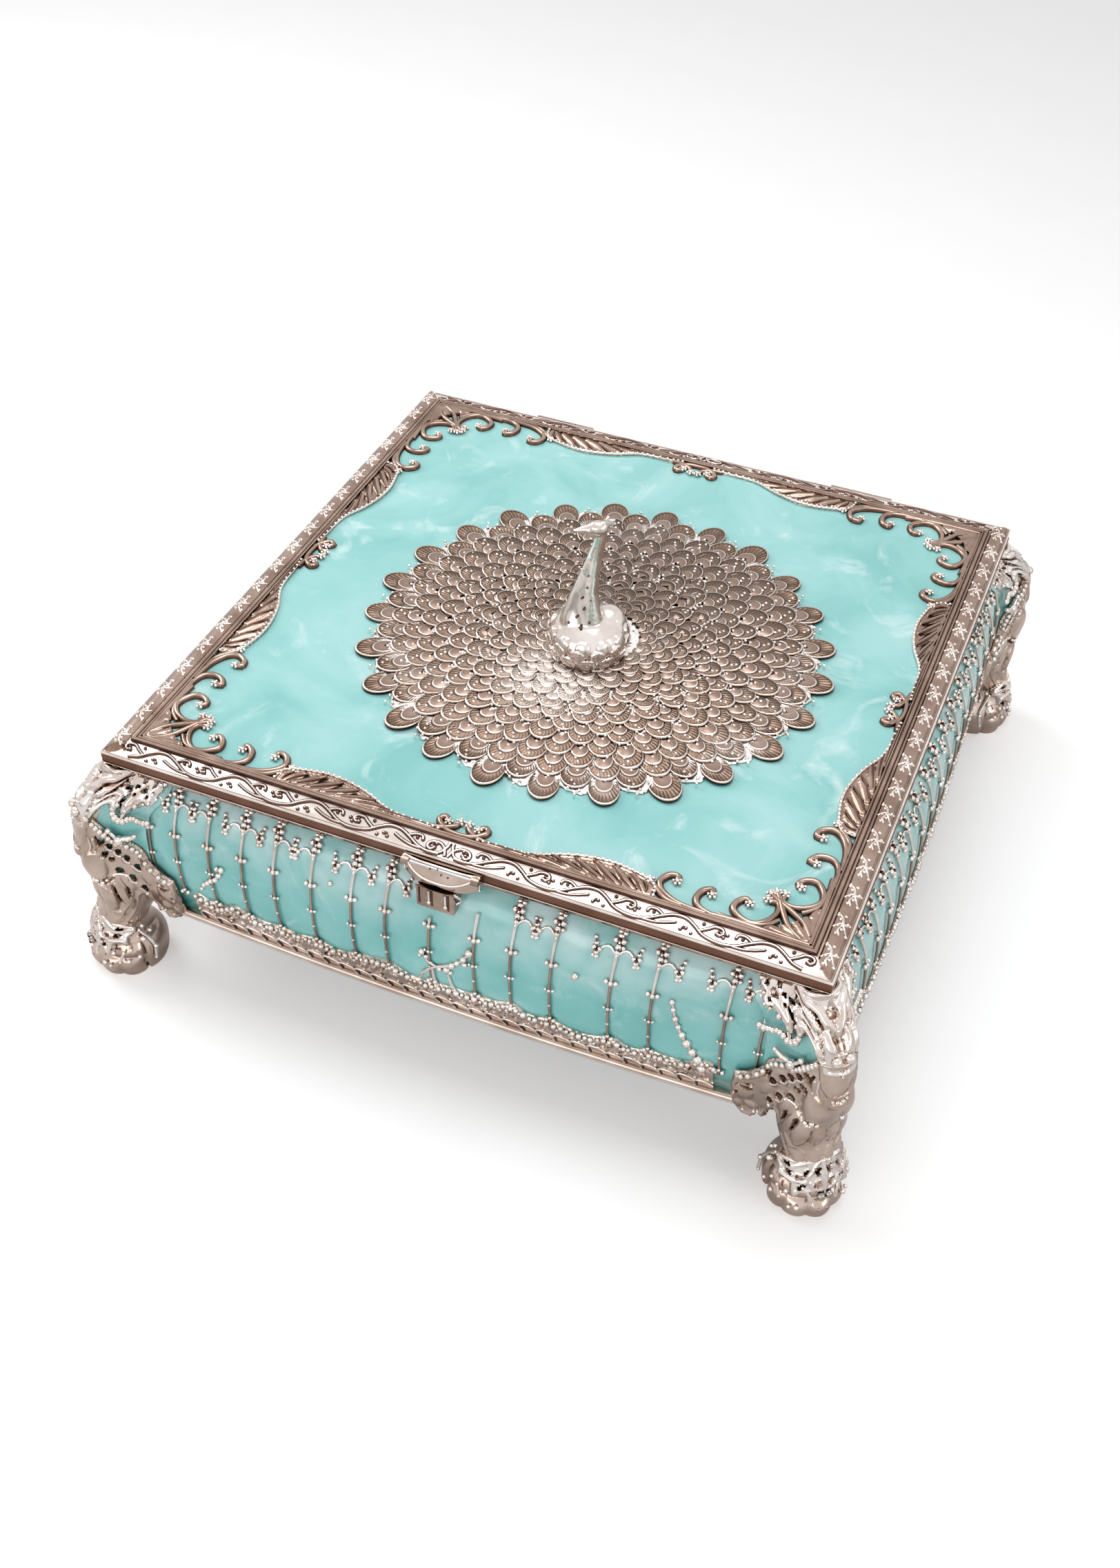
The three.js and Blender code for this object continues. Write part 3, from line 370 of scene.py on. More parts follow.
def wireTree():
    tree, given, made = newTree("drawnWire", {"Sides": "Int", "Step": "Float"})
    line = addNode(tree, "GeometryNodeMeshToCurve", {"Mesh": given.outputs["Geometry"]})
    smooth = addNode(tree, "GeometryNodeCurveSplineType", {
        "Curve": line.outputs["Curve"]}, spline_type="CATMULL_ROM")
    even = addNode(tree, "GeometryNodeResampleCurve",
                   {"Curve": smooth.outputs["Curve"], "Length": given.outputs["Step"]},
                   mode="LENGTH")
    thick = addNode(tree, "GeometryNodeInputNamedAttribute", {"Name": "thick"}, data_type="FLOAT")
    ring = addNode(tree, "GeometryNodeCurvePrimitiveCircle", {
        "Resolution": given.outputs["Sides"], "Radius": 1.0})
    tube = addNode(tree, "GeometryNodeCurveToMesh", {
        "Curve": even.outputs["Curve"], "Profile Curve": ring.outputs["Curve"],
        "Scale": thick.outputs["Attribute"], "Fill Caps": True})
    ends = addNode(tree, "GeometryNodeCurveEndpointSelection")
    ballSize = addNode(tree, "GeometryNodeInputNamedAttribute", {"Name": "ball"}, data_type="FLOAT")
    dot = addNode(tree, "GeometryNodeMeshUVSphere", {"Segments": 8, "Rings": 5, "Radius": 1.0})
    balls = addNode(tree, "GeometryNodeInstanceOnPoints", {
        "Points": even.outputs["Curve"], "Selection": ends.outputs["Selection"],
        "Instance": dot.outputs["Mesh"], "Scale": ballSize.outputs["Attribute"]})
    both = addNode(tree, "GeometryNodeJoinGeometry")
    tree.links.new(balls.outputs["Instances"], both.inputs["Geometry"])
    tree.links.new(tube.outputs["Mesh"], both.inputs["Geometry"])
    real = addNode(tree, "GeometryNodeRealizeInstances", {"Geometry": both.outputs["Geometry"]})
    return endTree(tree, given, made, real.outputs["Geometry"])


drawnWire = wireTree()


# Wires along smooth lines, each (points, radii) or (points, radii, ball at its start, ball at its end)
def wires(name, lines, material, sides=8, step=0.7):
    points, edges, thick, ball = [], [], [], []
    for line in lines:
        path, radii = line[0], line[1]
        startBall, endBall = (line[2], line[3]) if len(line) > 2 else (0, 0)
        first = len(points)
        for i, p in enumerate(path):
            share = i / (len(path) - 1)
            points.append(tuple(c * mm for c in p))
            if isinstance(radii, (int, float)):
                thick.append(radii * mm)
            else:
                thick.append(float(along(radii, share)) * mm)
            ball.append((startBall if share < 0.5 else endBall) * mm)
            if i:
                edges.append((first + i - 1, first + i))
    mesh = bpy.data.meshes.new(name)
    mesh.from_pydata(points, edges, [])
    mesh.attributes.new("thick", "FLOAT", "POINT").data.foreach_set("value", thick)
    mesh.attributes.new("ball", "FLOAT", "POINT").data.foreach_set("value", ball)
    return grow(name, inScene(name, mesh), drawnWire, {
        "Sides": sides, "Step": step * mm, "Material": material})


def beadTree():
    tree, given, made = newTree("beadRow", {"Segments": "Int"})
    points = addNode(tree, "GeometryNodeMeshToPoints", {"Mesh": given.outputs["Geometry"]})
    size = addNode(tree, "GeometryNodeInputNamedAttribute", {"Name": "ball"}, data_type="FLOAT")
    dot = addNode(tree, "GeometryNodeMeshUVSphere", {
        "Segments": given.outputs["Segments"], "Rings": 5, "Radius": 1.0})
    balls = addNode(tree, "GeometryNodeInstanceOnPoints", {
        "Points": points.outputs["Points"], "Instance": dot.outputs["Mesh"],
        "Scale": size.outputs["Attribute"]})
    real = addNode(tree, "GeometryNodeRealizeInstances", {"Geometry": balls.outputs["Instances"]})
    return endTree(tree, given, made, real.outputs["Geometry"])


beadRow = beadTree()


def beads(name, places, sizes, material, segments=8):
    mesh = bpy.data.meshes.new(name)
    mesh.from_pydata([tuple(c * mm for c in p) for p in places], [], [])
    sizes = [sizes] * len(places) if isinstance(sizes, (int, float)) else sizes
    mesh.attributes.new("ball", "FLOAT", "POINT").data.foreach_set("value", [s * mm for s in sizes])
    return grow(name, inScene(name, mesh), beadRow, {"Material": material, "Segments": segments})


# Cast relief: a sheet raised by field(a, b) over a surface, closed behind; what the field sinks is left out
def reliefSheet(name, field, place, spanA, spanB, step, material, sink=0.5):
    countA = max(2, round((spanA[1] - spanA[0]) / step) + 1)
    countB = max(2, round((spanB[1] - spanB[0]) / step) + 1)
    a, b = np.meshgrid(np.linspace(*spanA, countA), np.linspace(*spanB, countB), indexing="ij")
    height = np.maximum(field(a, b), -sink)
    top = place(a, b, height)
    under = place(a, b, np.full_like(height, -sink - 0.3))
    peak = np.maximum.reduce([height[:-1, :-1], height[1:, :-1], height[1:, 1:], height[:-1, 1:]])
    keep = peak > -sink + 1e-6
    index = np.arange(countA * countB).reshape(countA, countB)
    under0 = countA * countB
    corner = [index[:-1, :-1], index[1:, :-1], index[1:, 1:], index[:-1, 1:]]
    faces = [np.stack([c[keep] for c in corner], 1),
             np.stack([c[keep] + under0 for c in reversed(corner)], 1)]
    ringed = np.pad(keep, 1)
    for (da, db), (p, q) in {(0, -1): (0, 1), (1, 0): (1, 2), (0, 1): (2, 3), (-1, 0): (3, 0)}.items():
        open_ = keep & ~ringed[1 + da:ringed.shape[0] - 1 + da, 1 + db:ringed.shape[1] - 1 + db]
        s, t = corner[p][open_], corner[q][open_]
        faces.append(np.stack([t, s, s + under0, t + under0], 1))
    faces = np.concatenate(faces)
    vertices = np.concatenate([top.reshape(-1, 3), under.reshape(-1, 3)])
    used, faces = np.unique(faces, return_inverse=True)
    obj = meshObject(name, vertices[used].tolist(), faces.reshape(-1, 4).tolist(), material, 60)
    faceOutwards(obj)
    return obj


# Height of round strokes over a plane. Each stroke is (points, radii)
def strokeField(strokes, base=-0.5, flat=1.0):
    def field(a, b):
        height = np.full(a.shape, base, float)
        for points, radii in strokes:
            path = np.array(points, float)
            size = along(np.atleast_1d(radii), np.linspace(0, 1, len(path)))
            for i in range(len(path) - 1):
                p, q, r0, r1 = path[i], path[i + 1], size[i], size[i + 1]
                reach = max(r0, r1) + 0.6
                near = ((a > min(p[0], q[0]) - reach) & (a < max(p[0], q[0]) + reach)
                        & (b > min(p[1], q[1]) - reach) & (b < max(p[1], q[1]) + reach))
                if not near.any():
                    continue
                da, db = a[near] - p[0], b[near] - p[1]
                way = q - p
                t = np.clip((da * way[0] + db * way[1]) / max(way @ way, 1e-9), 0, 1)
                distance = np.hypot(da - t * way[0], db - t * way[1])
                r = r0 + (r1 - r0) * t
                bump = np.where(distance < r, flat * np.sqrt(np.maximum(r * r - distance * distance, 0)),
                                r - distance)
                height[near] = np.maximum(height[near], bump)
        return height
    return field


sideTurns = {"front": 0, "right": 1, "back": 2, "left": 3}
print("trees made")


# Studio: pale floor, soft lamps and the camera of the photograph

studio = {
    "target": (15.78, -63.06, 78.0), "azimuth": 21.52, "elevation": 43.343, "distance": 455.75,
    "roll": 1.5, "lens": 39.62, "ambient": 0.34, "floor": "#f4f4f4", "floorLift": 0.34,
}


def areaLamp(name, place, aim, width, height, power):
    lamp = bpy.data.lights.new(name, "AREA")
    lamp.shape = "RECTANGLE"
    lamp.size, lamp.size_y = width * mm, height * mm
    lamp.energy = power
    obj = inScene(name, lamp)
    obj.location = Vector(place) * mm
    obj.rotation_euler = (Vector(place) - Vector(aim)).to_track_quat("Z", "Y").to_euler()


def makeStudio():
    azimuth, elevation = math.radians(studio["azimuth"]), math.radians(studio["elevation"])
    back = Vector((math.sin(azimuth) * math.cos(elevation), -math.cos(azimuth) * math.cos(elevation),
                   math.sin(elevation)))
    lens = bpy.data.cameras.new("camera")
    lens.lens = studio["lens"]
    lens.sensor_width = 36.0
    lens.clip_start = 0.01
    camera = inScene("camera", lens)
    camera.location = (Vector(studio["target"]) + studio["distance"] * back) * mm
    roll = Matrix.Rotation(math.radians(studio["roll"]), 4, "Z")
    camera.rotation_euler = (back.to_track_quat("Z", "Y").to_matrix().to_4x4() @ roll).to_euler()
    bpy.context.scene.camera = camera
    bpy.context.scene.view_settings.view_transform = "Standard"

    world = bpy.data.worlds.new("studioWorld")
    bpy.context.scene.world = world
    world.use_nodes = True
    tree = world.node_tree
    tree.nodes.clear()
    path = addNode(tree, "ShaderNodeLightPath")
    seen = addNode(tree, "ShaderNodeMath", {
        0: path.outputs["Is Camera Ray"], 1: path.outputs["Is Glossy Ray"]}, operation="MAXIMUM")
    through = addNode(tree, "ShaderNodeMath", {
        0: seen.outputs[0], 1: path.outputs["Is Transmission Ray"]}, operation="MAXIMUM")
    strength = addNode(tree, "ShaderNodeMapRange", {
        "Value": through.outputs[0], "To Min": studio["ambient"], "To Max": 1.0})
    sky = addNode(tree, "ShaderNodeBackground", {
        "Color": (1, 1, 1, 1), "Strength": strength.outputs["Result"]})
    addNode(tree, "ShaderNodeOutputWorld", {"Surface": sky.outputs["Background"]})

    floor = meshObject("floor", [(-3000, -3000, 0), (3000, -3000, 0), (3000, 3000, 0), (-3000, 3000, 0)],
                       [(0, 1, 2, 3)], floorPaper())
    areaLamp("overhead", (0, 30, 620), (0, 0, 60), 420, 300, 1.6)
    areaLamp("backLeft", (-700, 160, 560), (0, 0, 40), 420, 420, 2.6)
    areaLamp("frontFill", (-120, -760, 260), (0, 0, 50), 700, 300, 1.1)
    areaLamp("rightFill", (760, -200, 330), (0, 0, 50), 420, 300, 0.8)


def floorPaper():
    # seamless studio paper: matt and nearly white, with a little light of its own so that it renders white
    material, tree, shader, place = newMaterial("studioPaper")
    fibre = addNode(tree, "ShaderNodeTexNoise", {"Vector": place, "Scale": 40.0, "Detail": 2.0})
    tone = ramp(tree, fibre.outputs["Fac"], [(0.3, studio["floor"]), (0.7, "#f6f6f6")])
    tree.links.new(tone, shader.inputs["Base Color"])
    shader.inputs["Roughness"].default_value = 0.9
    shader.inputs["Specular IOR Level"].default_value = 0.1
    path = addNode(tree, "ShaderNodeLightPath")
    lift = addNode(tree, "ShaderNodeMath", {
        0: path.outputs["Is Camera Ray"], 1: studio["floorLift"]}, operation="MULTIPLY")
    shader.inputs["Emission Color"].default_value = (1, 1, 1, 1)
    tree.links.new(lift.outputs[0], shader.inputs["Emission Strength"])
    return material


makeStudio()
print("studio made")


# Lid frame: rim face between two beads, band rising to the crest

lidRim = {
    "section": [(0.1, 74.95), (0.0, 75.05), (0.0, 75.35), (0.25, 75.4), (0.25, 78.2), (0.0, 78.25),
                (0.0, 78.55), (0.1, 78.65), (0.5, 78.65), (0.6, 78.55), (0.8, 78.55), (0.9, 78.6),
                (5.95, 79.8), (6.05, 79.8), (6.15, 80.1), (6.3, 80.6), (6.5, 80.7), (7.1, 80.7),
                (7.25, 80.45), (7.45, 80.45), (7.6, 80.65), (7.9, 80.65), (8.0, 80.5), (8.0, 77.0),
                (12.0, 77.0), (12.0, 75.0)],
    # which parts of the section are brown, dark, bright all round and bright on the front and back only; the
    # dark faces are painted shade along the crest, and the band's brightness on the front and back is a
    # painted highlight
    "brown": (3,), "dark": (12, 13, 14, 18), "bright": (0, 1, 5, 6, 7), "band": (11,),
    "bandStart": (0.85, 78.6), "bandRun": 5.1, "bandRise": 1.2,
}


def lidRimPiece():
    section = lidRim["section"]
    vertices = []
    for sx, sy in [(-1, -1), (1, -1), (1, 1), (-1, 1)]:
        vertices += [(sx * (casket["lidHalf"] - i), sy * (casket["lidHalf"] - i), z) for i, z in section]
    faces = ringFaces(4, len(section), closed=True)
    kind = []
    for index in range(len(faces)):
        k = index % len(section)
        # the band face is bright plate on the front and back only: a painted highlight
        shown = k in lidRim["bright"] or (k in lidRim["band"] and (index // len(section)) % 2 == 0)
        kind.append(1 if k in lidRim["brown"] else 3 if k in lidRim["dark"] else 2 if shown else 0)
    obj = meshObject("lid_frame_mouldings", vertices, faces,
                     [roseMetal, brownMetal, brightMetal, darkMetal], 25, kind)
    faceOutwards(obj)
    finishPiece(obj, "lid", ["lid_frame"])


# A point over the sloping band of one side: along the side, up the slope, and out from it
def bandPoint(a, b, h):
    inward, z = lidRim["bandStart"]
    length = math.hypot(lidRim["bandRun"], lidRim["bandRise"])
    run, rise = lidRim["bandRun"] / length, lidRim["bandRise"] / length
    return a, -(casket["lidHalf"] - inward - b * run + h * rise), z + b * rise + h * run


def repeatTree():
    tree, given, made = newTree("repeatAlong", {"Count": "Int", "Start": "Vector", "Step": "Vector"})
    line = addNode(tree, "GeometryNodeMeshLine", {
        "Count": given.outputs["Count"], "Start Location": given.outputs["Start"],
        "Offset": given.outputs["Step"]}, mode="OFFSET")
    copies = addNode(tree, "GeometryNodeInstanceOnPoints", {
        "Points": line.outputs["Mesh"], "Instance": given.outputs["Geometry"]})
    real = addNode(tree, "GeometryNodeRealizeInstances", {"Geometry": copies.outputs["Instances"]})
    painted = addNode(tree, "GeometryNodeSetMaterial", {
        "Geometry": real.outputs["Geometry"], "Material": given.outputs["Material"]})
    tree.links.new(painted.outputs["Geometry"], made.inputs["Geometry"])
    return tree


repeatAlong = repeatTree()

vine = {
    "period": 22.8, "copies": 4, "start": 2.2,
    "stem": [(0, 0.7), (3, 0.6), (6, 1.3), (9, 3.0), (12, 4.4), (15, 4.5), (17.6, 3.2), (20, 1.5),
             (22.8, 0.7)],
    "curl": [(19.0, 2.2), (21.2, 3.6), (22.4, 4.5), (24.2, 4.5), (25.0, 3.5), (24.4, 2.6), (23.4, 2.8)],
    "leaf": [(4.6, 0.8), (7.6, 0.9), (10.4, 1.6), (12.8, 2.6)],
    "tendril": [(9.4, 3.4), (7.6, 4.4), (5.8, 4.3), (5.4, 3.4)],
    "dots": [(1.6, 3.4), (2.4, 2.4), (3.2, 3.3), (14.6, 1.2), (15.8, 1.9), (17.4, 0.9)],
    "eyes": [(23.8, 3.6), (2.4, 3.0), (15.2, 1.9), (19.6, 4.4), (7.0, 3.5)],
    "middle": [[(0.4, 0.6), (1.2, 2.6), (3.0, 3.9), (5.2, 3.6), (5.9, 2.2), (4.8, 1.4), (3.9, 2.2)],
               [(0.5, 4.6), (0.8, 3.2), (2.0, 1.2), (4.2, 0.7)]],
}


def vinePieces():
    objects = []
    for mirror in (1, -1):
        # each bright line lies on a wider dark one, which shows as its outline: painted shade along its foot
        for wider, lift, metal in ((0.0, 0.2, brightMetal), (0.27, -0.1, darkMetal)):
            parts = (("stem", 0.36, 0), ("curl", 0.33, 0.42), ("leaf", 0.28, 0.3), ("tendril", 0.3, 0.36))
            lines = [([bandPoint(mirror * a, b, lift) for a, b in vine[part]], size + wider, 0,
                      ball + wider if ball else 0)
                     for part, size, ball in parts]
            motif = joinPieces("vineMotif", [
                wires("vineWire", lines, metal, 8, 0.6),
                beads("vineDots", [bandPoint(mirror * a, b, lift) for a, b in vine["dots"]], 0.34 + wider,
                      metal),
                beads("vineEyes", [bandPoint(mirror * a, b, -0.05) for a, b in vine["eyes"]], 0.3 + wider,
                      metal)])
            objects.append(grow("vineHalf", motif, repeatAlong, {
                "Count": vine["copies"], "Start": (mirror * vine["start"] * mm, 0, 0),
                "Step": (mirror * vine["period"] * mm, 0, 0), "Material": metal}))
            lines = [([bandPoint(mirror * a, b, lift) for a, b in path], 0.34 + wider, 0, 0.42 + wider)
                     for path in vine["middle"]]
            objects.append(wires("vineMiddle", lines, metal, 8, 0.5))
    front = joinPieces("front_vine", objects)
    for obj in (front, turnedCopy(front, "back_vine", 2)):
        finishPiece(obj, "lid")


sideBand = {
    "rod": [(0.15, 0.0), (0.35, 0.45), (0.9, 0.95), (1.7, 1.25), (2.5, 1.35), (3.3, 1.25), (4.1, 0.9),
            (4.55, 0.4), (4.75, 0.0), (2.5, -0.2)],
    "pitch": 10.5, "copies": 19,
    "strokes": [[(-2.6, 0.5), (-1.4, 1.6), (0.2, 2.4), (2.2, 3.0), (3.6, 4.2)],
                [(-0.8, 4.4), (0.1, 3.2), (0.3, 2.0), (1.0, 0.7)], [(-3.4, 2.6), (-2.0, 3.2), (-0.4, 2.6)]],
    "dots": [(-2.8, 0.7), (-1.6, 2.4), (-0.5, 3.6), (0.9, 1.3), (1.6, 3.4), (3.0, 4.2), (2.9, 2.4),
             (-3.2, 3.4)],
}


def rodHeight(b):
    xs, hs = zip(*sideBand["rod"][:-1])
    return float(np.interp(b, xs, hs))


def sideBands():
    count = len(sideBand["rod"])
    for side in ("right", "left"):
        vertices = []
        for end in (-1, 1):
            for b, h in sideBand["rod"]:
                x, y, z = bandPoint(0, b, h)
                vertices.append((end * -y, y, z))
        rod = meshObject("rod", vertices, ringFaces(2, count), roseMetal, 50)
        faceOutwards(rod)
        lines = [([bandPoint(a, b, rodHeight(b) - 0.05) for a, b in path], (0.3, 0.42, 0.28), 0.3, 0.42)
                 for path in sideBand["strokes"]]
        motif = joinPieces("clusterMotif", [
            wires("clusterWire", lines, brightMetal, 7, 0.5),
            beads("clusterDots", [bandPoint(a, b, rodHeight(b)) for a, b in sideBand["dots"]], 0.5,
                  brightMetal, 7)])
        half = (sideBand["copies"] - 1) / 2 * sideBand["pitch"] * mm
        clusters = grow("clusters", motif, repeatAlong, {
            "Count": sideBand["copies"], "Start": (-half, 0, 0), "Step": (sideBand["pitch"] * mm, 0, 0),
            "Material": brightMetal})
        spin = Matrix.Rotation(sideTurns[side] * math.pi / 2, 4, "Z")
        for obj, name, slotName in ((rod, f"{side}_band_moulding", "rose_plate"),
                                    (clusters, f"{side}_band_clusters", "bright_plate")):
            obj.data.transform(spin)
            obj.name = name
            finishPiece(obj, "lid")


lidRimPiece()
vinePieces()
sideBands()
print("lid frame made")


# Lid enamel: one poured sheet with a soft rippled top

lidSheet = {"step": 1.6, "level": 79.35, "ripple": 0.24, "grain": 15.0}


# Soft uneven level of poured enamel; each sheet is cut from the same noise at its own layer
def ripples(a, b, look, layer):
    out = np.zeros_like(a)
    for index, x in np.ndenumerate(a):
        p = Vector((x / look["grain"], b[index] / look["grain"], layer))
        out[index] = look["ripple"] * noise.fractal(p, 0.9, 2.1, 3)
    return out


def lidEnamelPiece():
    half = casket["sheetHalf"]
    field = lambda a, b: ripples(a, b, lidSheet, 3.1)
    place = lambda a, b, h: np.stack([a, b, lidSheet["level"] + h], -1)
    obj = reliefSheet("lid_enamel", field, place, (-half, half), (-half, half), lidSheet["step"], lidEnamel,
                      1.0)
    finishPiece(obj, "lid", ["lid_enamel_panel"])


lidEnamelPiece()
print("lid enamel made")


# Feather rosette: rings of fluted feathers with milled rims, laid like tiles

rosette = {
    "centre": (3.0, -5.0), "land": (14.0, 81.8), "edge": (69.0, 80.0), "discRadius": 60.0, "firstTurn": 5.5,
    # tip radius, feathers, length, width, turn in feather steps, lift of the tip
    "rings": [(69.0, 25, 13.0, 8.6, 0.0, 0.2), (63.4, 25, 12.5, 8.6, 0.5, 0.42),
              (60.0, 25, 12.3, 8.4, 0.0, 0.4), (56.0, 25, 12.0, 8.2, 0.5, 0.5),
              (51.5, 25, 11.6, 8.0, 0.0, 0.42), (47.3, 25, 11.2, 7.8, 0.5, 0.52),
              (42.7, 25, 10.6, 7.5, 0.0, 0.42), (38.7, 25, 10.2, 7.2, 0.5, 0.52),
              (34.7, 22, 9.6, 7.1, 0.0, 0.42), (31.0, 22, 9.0, 6.8, 0.5, 0.5),
              (27.4, 20, 8.4, 6.5, 0.0, 0.42), (24.0, 20, 8.0, 6.2, 0.5, 0.5),
              (20.6, 17, 7.6, 6.2, 0.0, 0.4), (17.4, 17, 7.0, 5.8, 0.5, 0.4)],
    # the point at the end of the next line is the centre of a painted reflection in front of the bird
    "thick": 6.5, "grain": 0.55, "seed": 7, "openworkBead": 0.5, "reflectionAt": (-1.0, -27.0, 82.0),
    # the first rings are fluted; open work, as (aside, back from the tip), shows between the first nine
    "fluted": 2, "open": 9,
    "openwork": [(0.0, 0.55), (0.09, 0.4), (-0.1, 0.44), (0.02, 0.28), (-0.06, 0.66)],
    # the disc under the feathers: underside, wavy lip as (out past discRadius, height), and hub
    "under": 79.3, "lip": [(3.0, 79.7), (2.6, 80.2)], "wave": 1.6, "hub": (3.0, 81.7), "discSides": 100,
}


# A peacock feather's end: smooth eye in a raised line, fluted fan round it and a raised rim.
# Its UV map runs round the fan and out from the eye, for the chasing in the material
def featherShape(columns, fine):
    eye, fan = ((0.37, 0.235, 0.28), (0.56, 0.44, 0.5))
    rows = [(0, 0.04, 0.085, 0.0), (0, 0.85, 0.05, 0.4), (0, 1.0, 0.062, 0.5), (0.16, None, 0.004, 0.57),
            (0.8, None, 0.03, 0.86), (0.93, None, 0.085, 0.94), (1.0, None, 0.0, 1.0),
            (0.98, None, -0.075, 1.06)]
    if not fine:
        rows = [rows[0], rows[2], rows[3], rows[5], rows[6], rows[7]]
    vertices, faces, chart = [], [], []
    for out, inner, height, v in rows:
        for k in range(columns):
            u = k / (columns - 1)
            phi = math.radians(126) * (2 * u - 1)
            reach = inner if inner else 1.0
            ox, oy = eye[0] + eye[1] * reach * math.cos(phi), eye[2] * reach * math.sin(phi)
            fx, fy = fan[0] + fan[1] * math.cos(phi), fan[2] * math.sin(phi)
            flute = 0.02 * (1 if k % 2 else -1) if fine and v in (0.57, 0.86) else 0
            vertices.append((ox + (fx - ox) * out, oy + (fy - oy) * out, height + flute))
            chart.append((u, v))
    for r in range(len(rows) - 1):
        for k in range(columns - 1):
            a = r * columns + k
            faces.append((a, a + columns, a + columns + 1, a + 1))
    mesh = bpy.data.meshes.new("featherShape")
    mesh.from_pydata(vertices, [], faces)
    layer = mesh.uv_layers.new(name="chasing")
    for loop in mesh.loops:
        layer.data[loop.index].uv = chart[loop.vertex_index]
    return inScene("featherShape", mesh)


def featherTree():
    tree, given, made = newTree("featherRing", {
        "Count": "Int", "Radius": "Float", "Size": "Vector", "Tilt": "Float", "Turn": "Float",
        "Place": "Vector", "Seed": "Int"})
    ring = addNode(tree, "GeometryNodeMeshCircle", {
        "Vertices": given.outputs["Count"], "Radius": given.outputs["Radius"]})
    index = addNode(tree, "GeometryNodeInputIndex")
    share = addNode(tree, "ShaderNodeMath", {
        0: index.outputs[0], 1: given.outputs["Count"]}, operation="DIVIDE")
    angle = addNode(tree, "ShaderNodeMath", {0: share.outputs[0], 1: tau}, operation="MULTIPLY")
    sway = addNode(tree, "FunctionNodeRandomValue",
                   {"Min": -0.05, "Max": 0.05, "ID": index.outputs[0], "Seed": given.outputs["Seed"]},
                   data_type="FLOAT")
    swayOut = [s for s in sway.outputs if s.type == "VALUE" and s.enabled][0]
    yaw = addNode(tree, "ShaderNodeMath", {0: angle.outputs[0], 1: swayOut}, operation="ADD")
    turn = addNode(tree, "ShaderNodeCombineXYZ", {
        "X": swayOut, "Y": given.outputs["Tilt"], "Z": yaw.outputs[0]})
    growth = addNode(tree, "ShaderNodeMath", {0: swayOut, 1: 1.0}, operation="ADD")
    size = addNode(tree, "ShaderNodeVectorMath", {
        0: given.outputs["Size"], "Scale": growth.outputs[0]}, operation="SCALE")
    copies = addNode(tree, "GeometryNodeInstanceOnPoints", {
        "Points": ring.outputs["Mesh"], "Instance": given.outputs["Geometry"],
        "Rotation": turn.outputs["Vector"],
        "Scale": size.outputs["Vector"]})
    real = addNode(tree, "GeometryNodeRealizeInstances", {"Geometry": copies.outputs["Instances"]})
    spin = addNode(tree, "ShaderNodeCombineXYZ", {"Z": given.outputs["Turn"]})
    placed = addNode(tree, "GeometryNodeTransform", {
        "Geometry": real.outputs["Geometry"], "Rotation": spin.outputs["Vector"],
        "Translation": given.outputs["Place"]})
    return endTree(tree, given, made, placed.outputs["Geometry"])


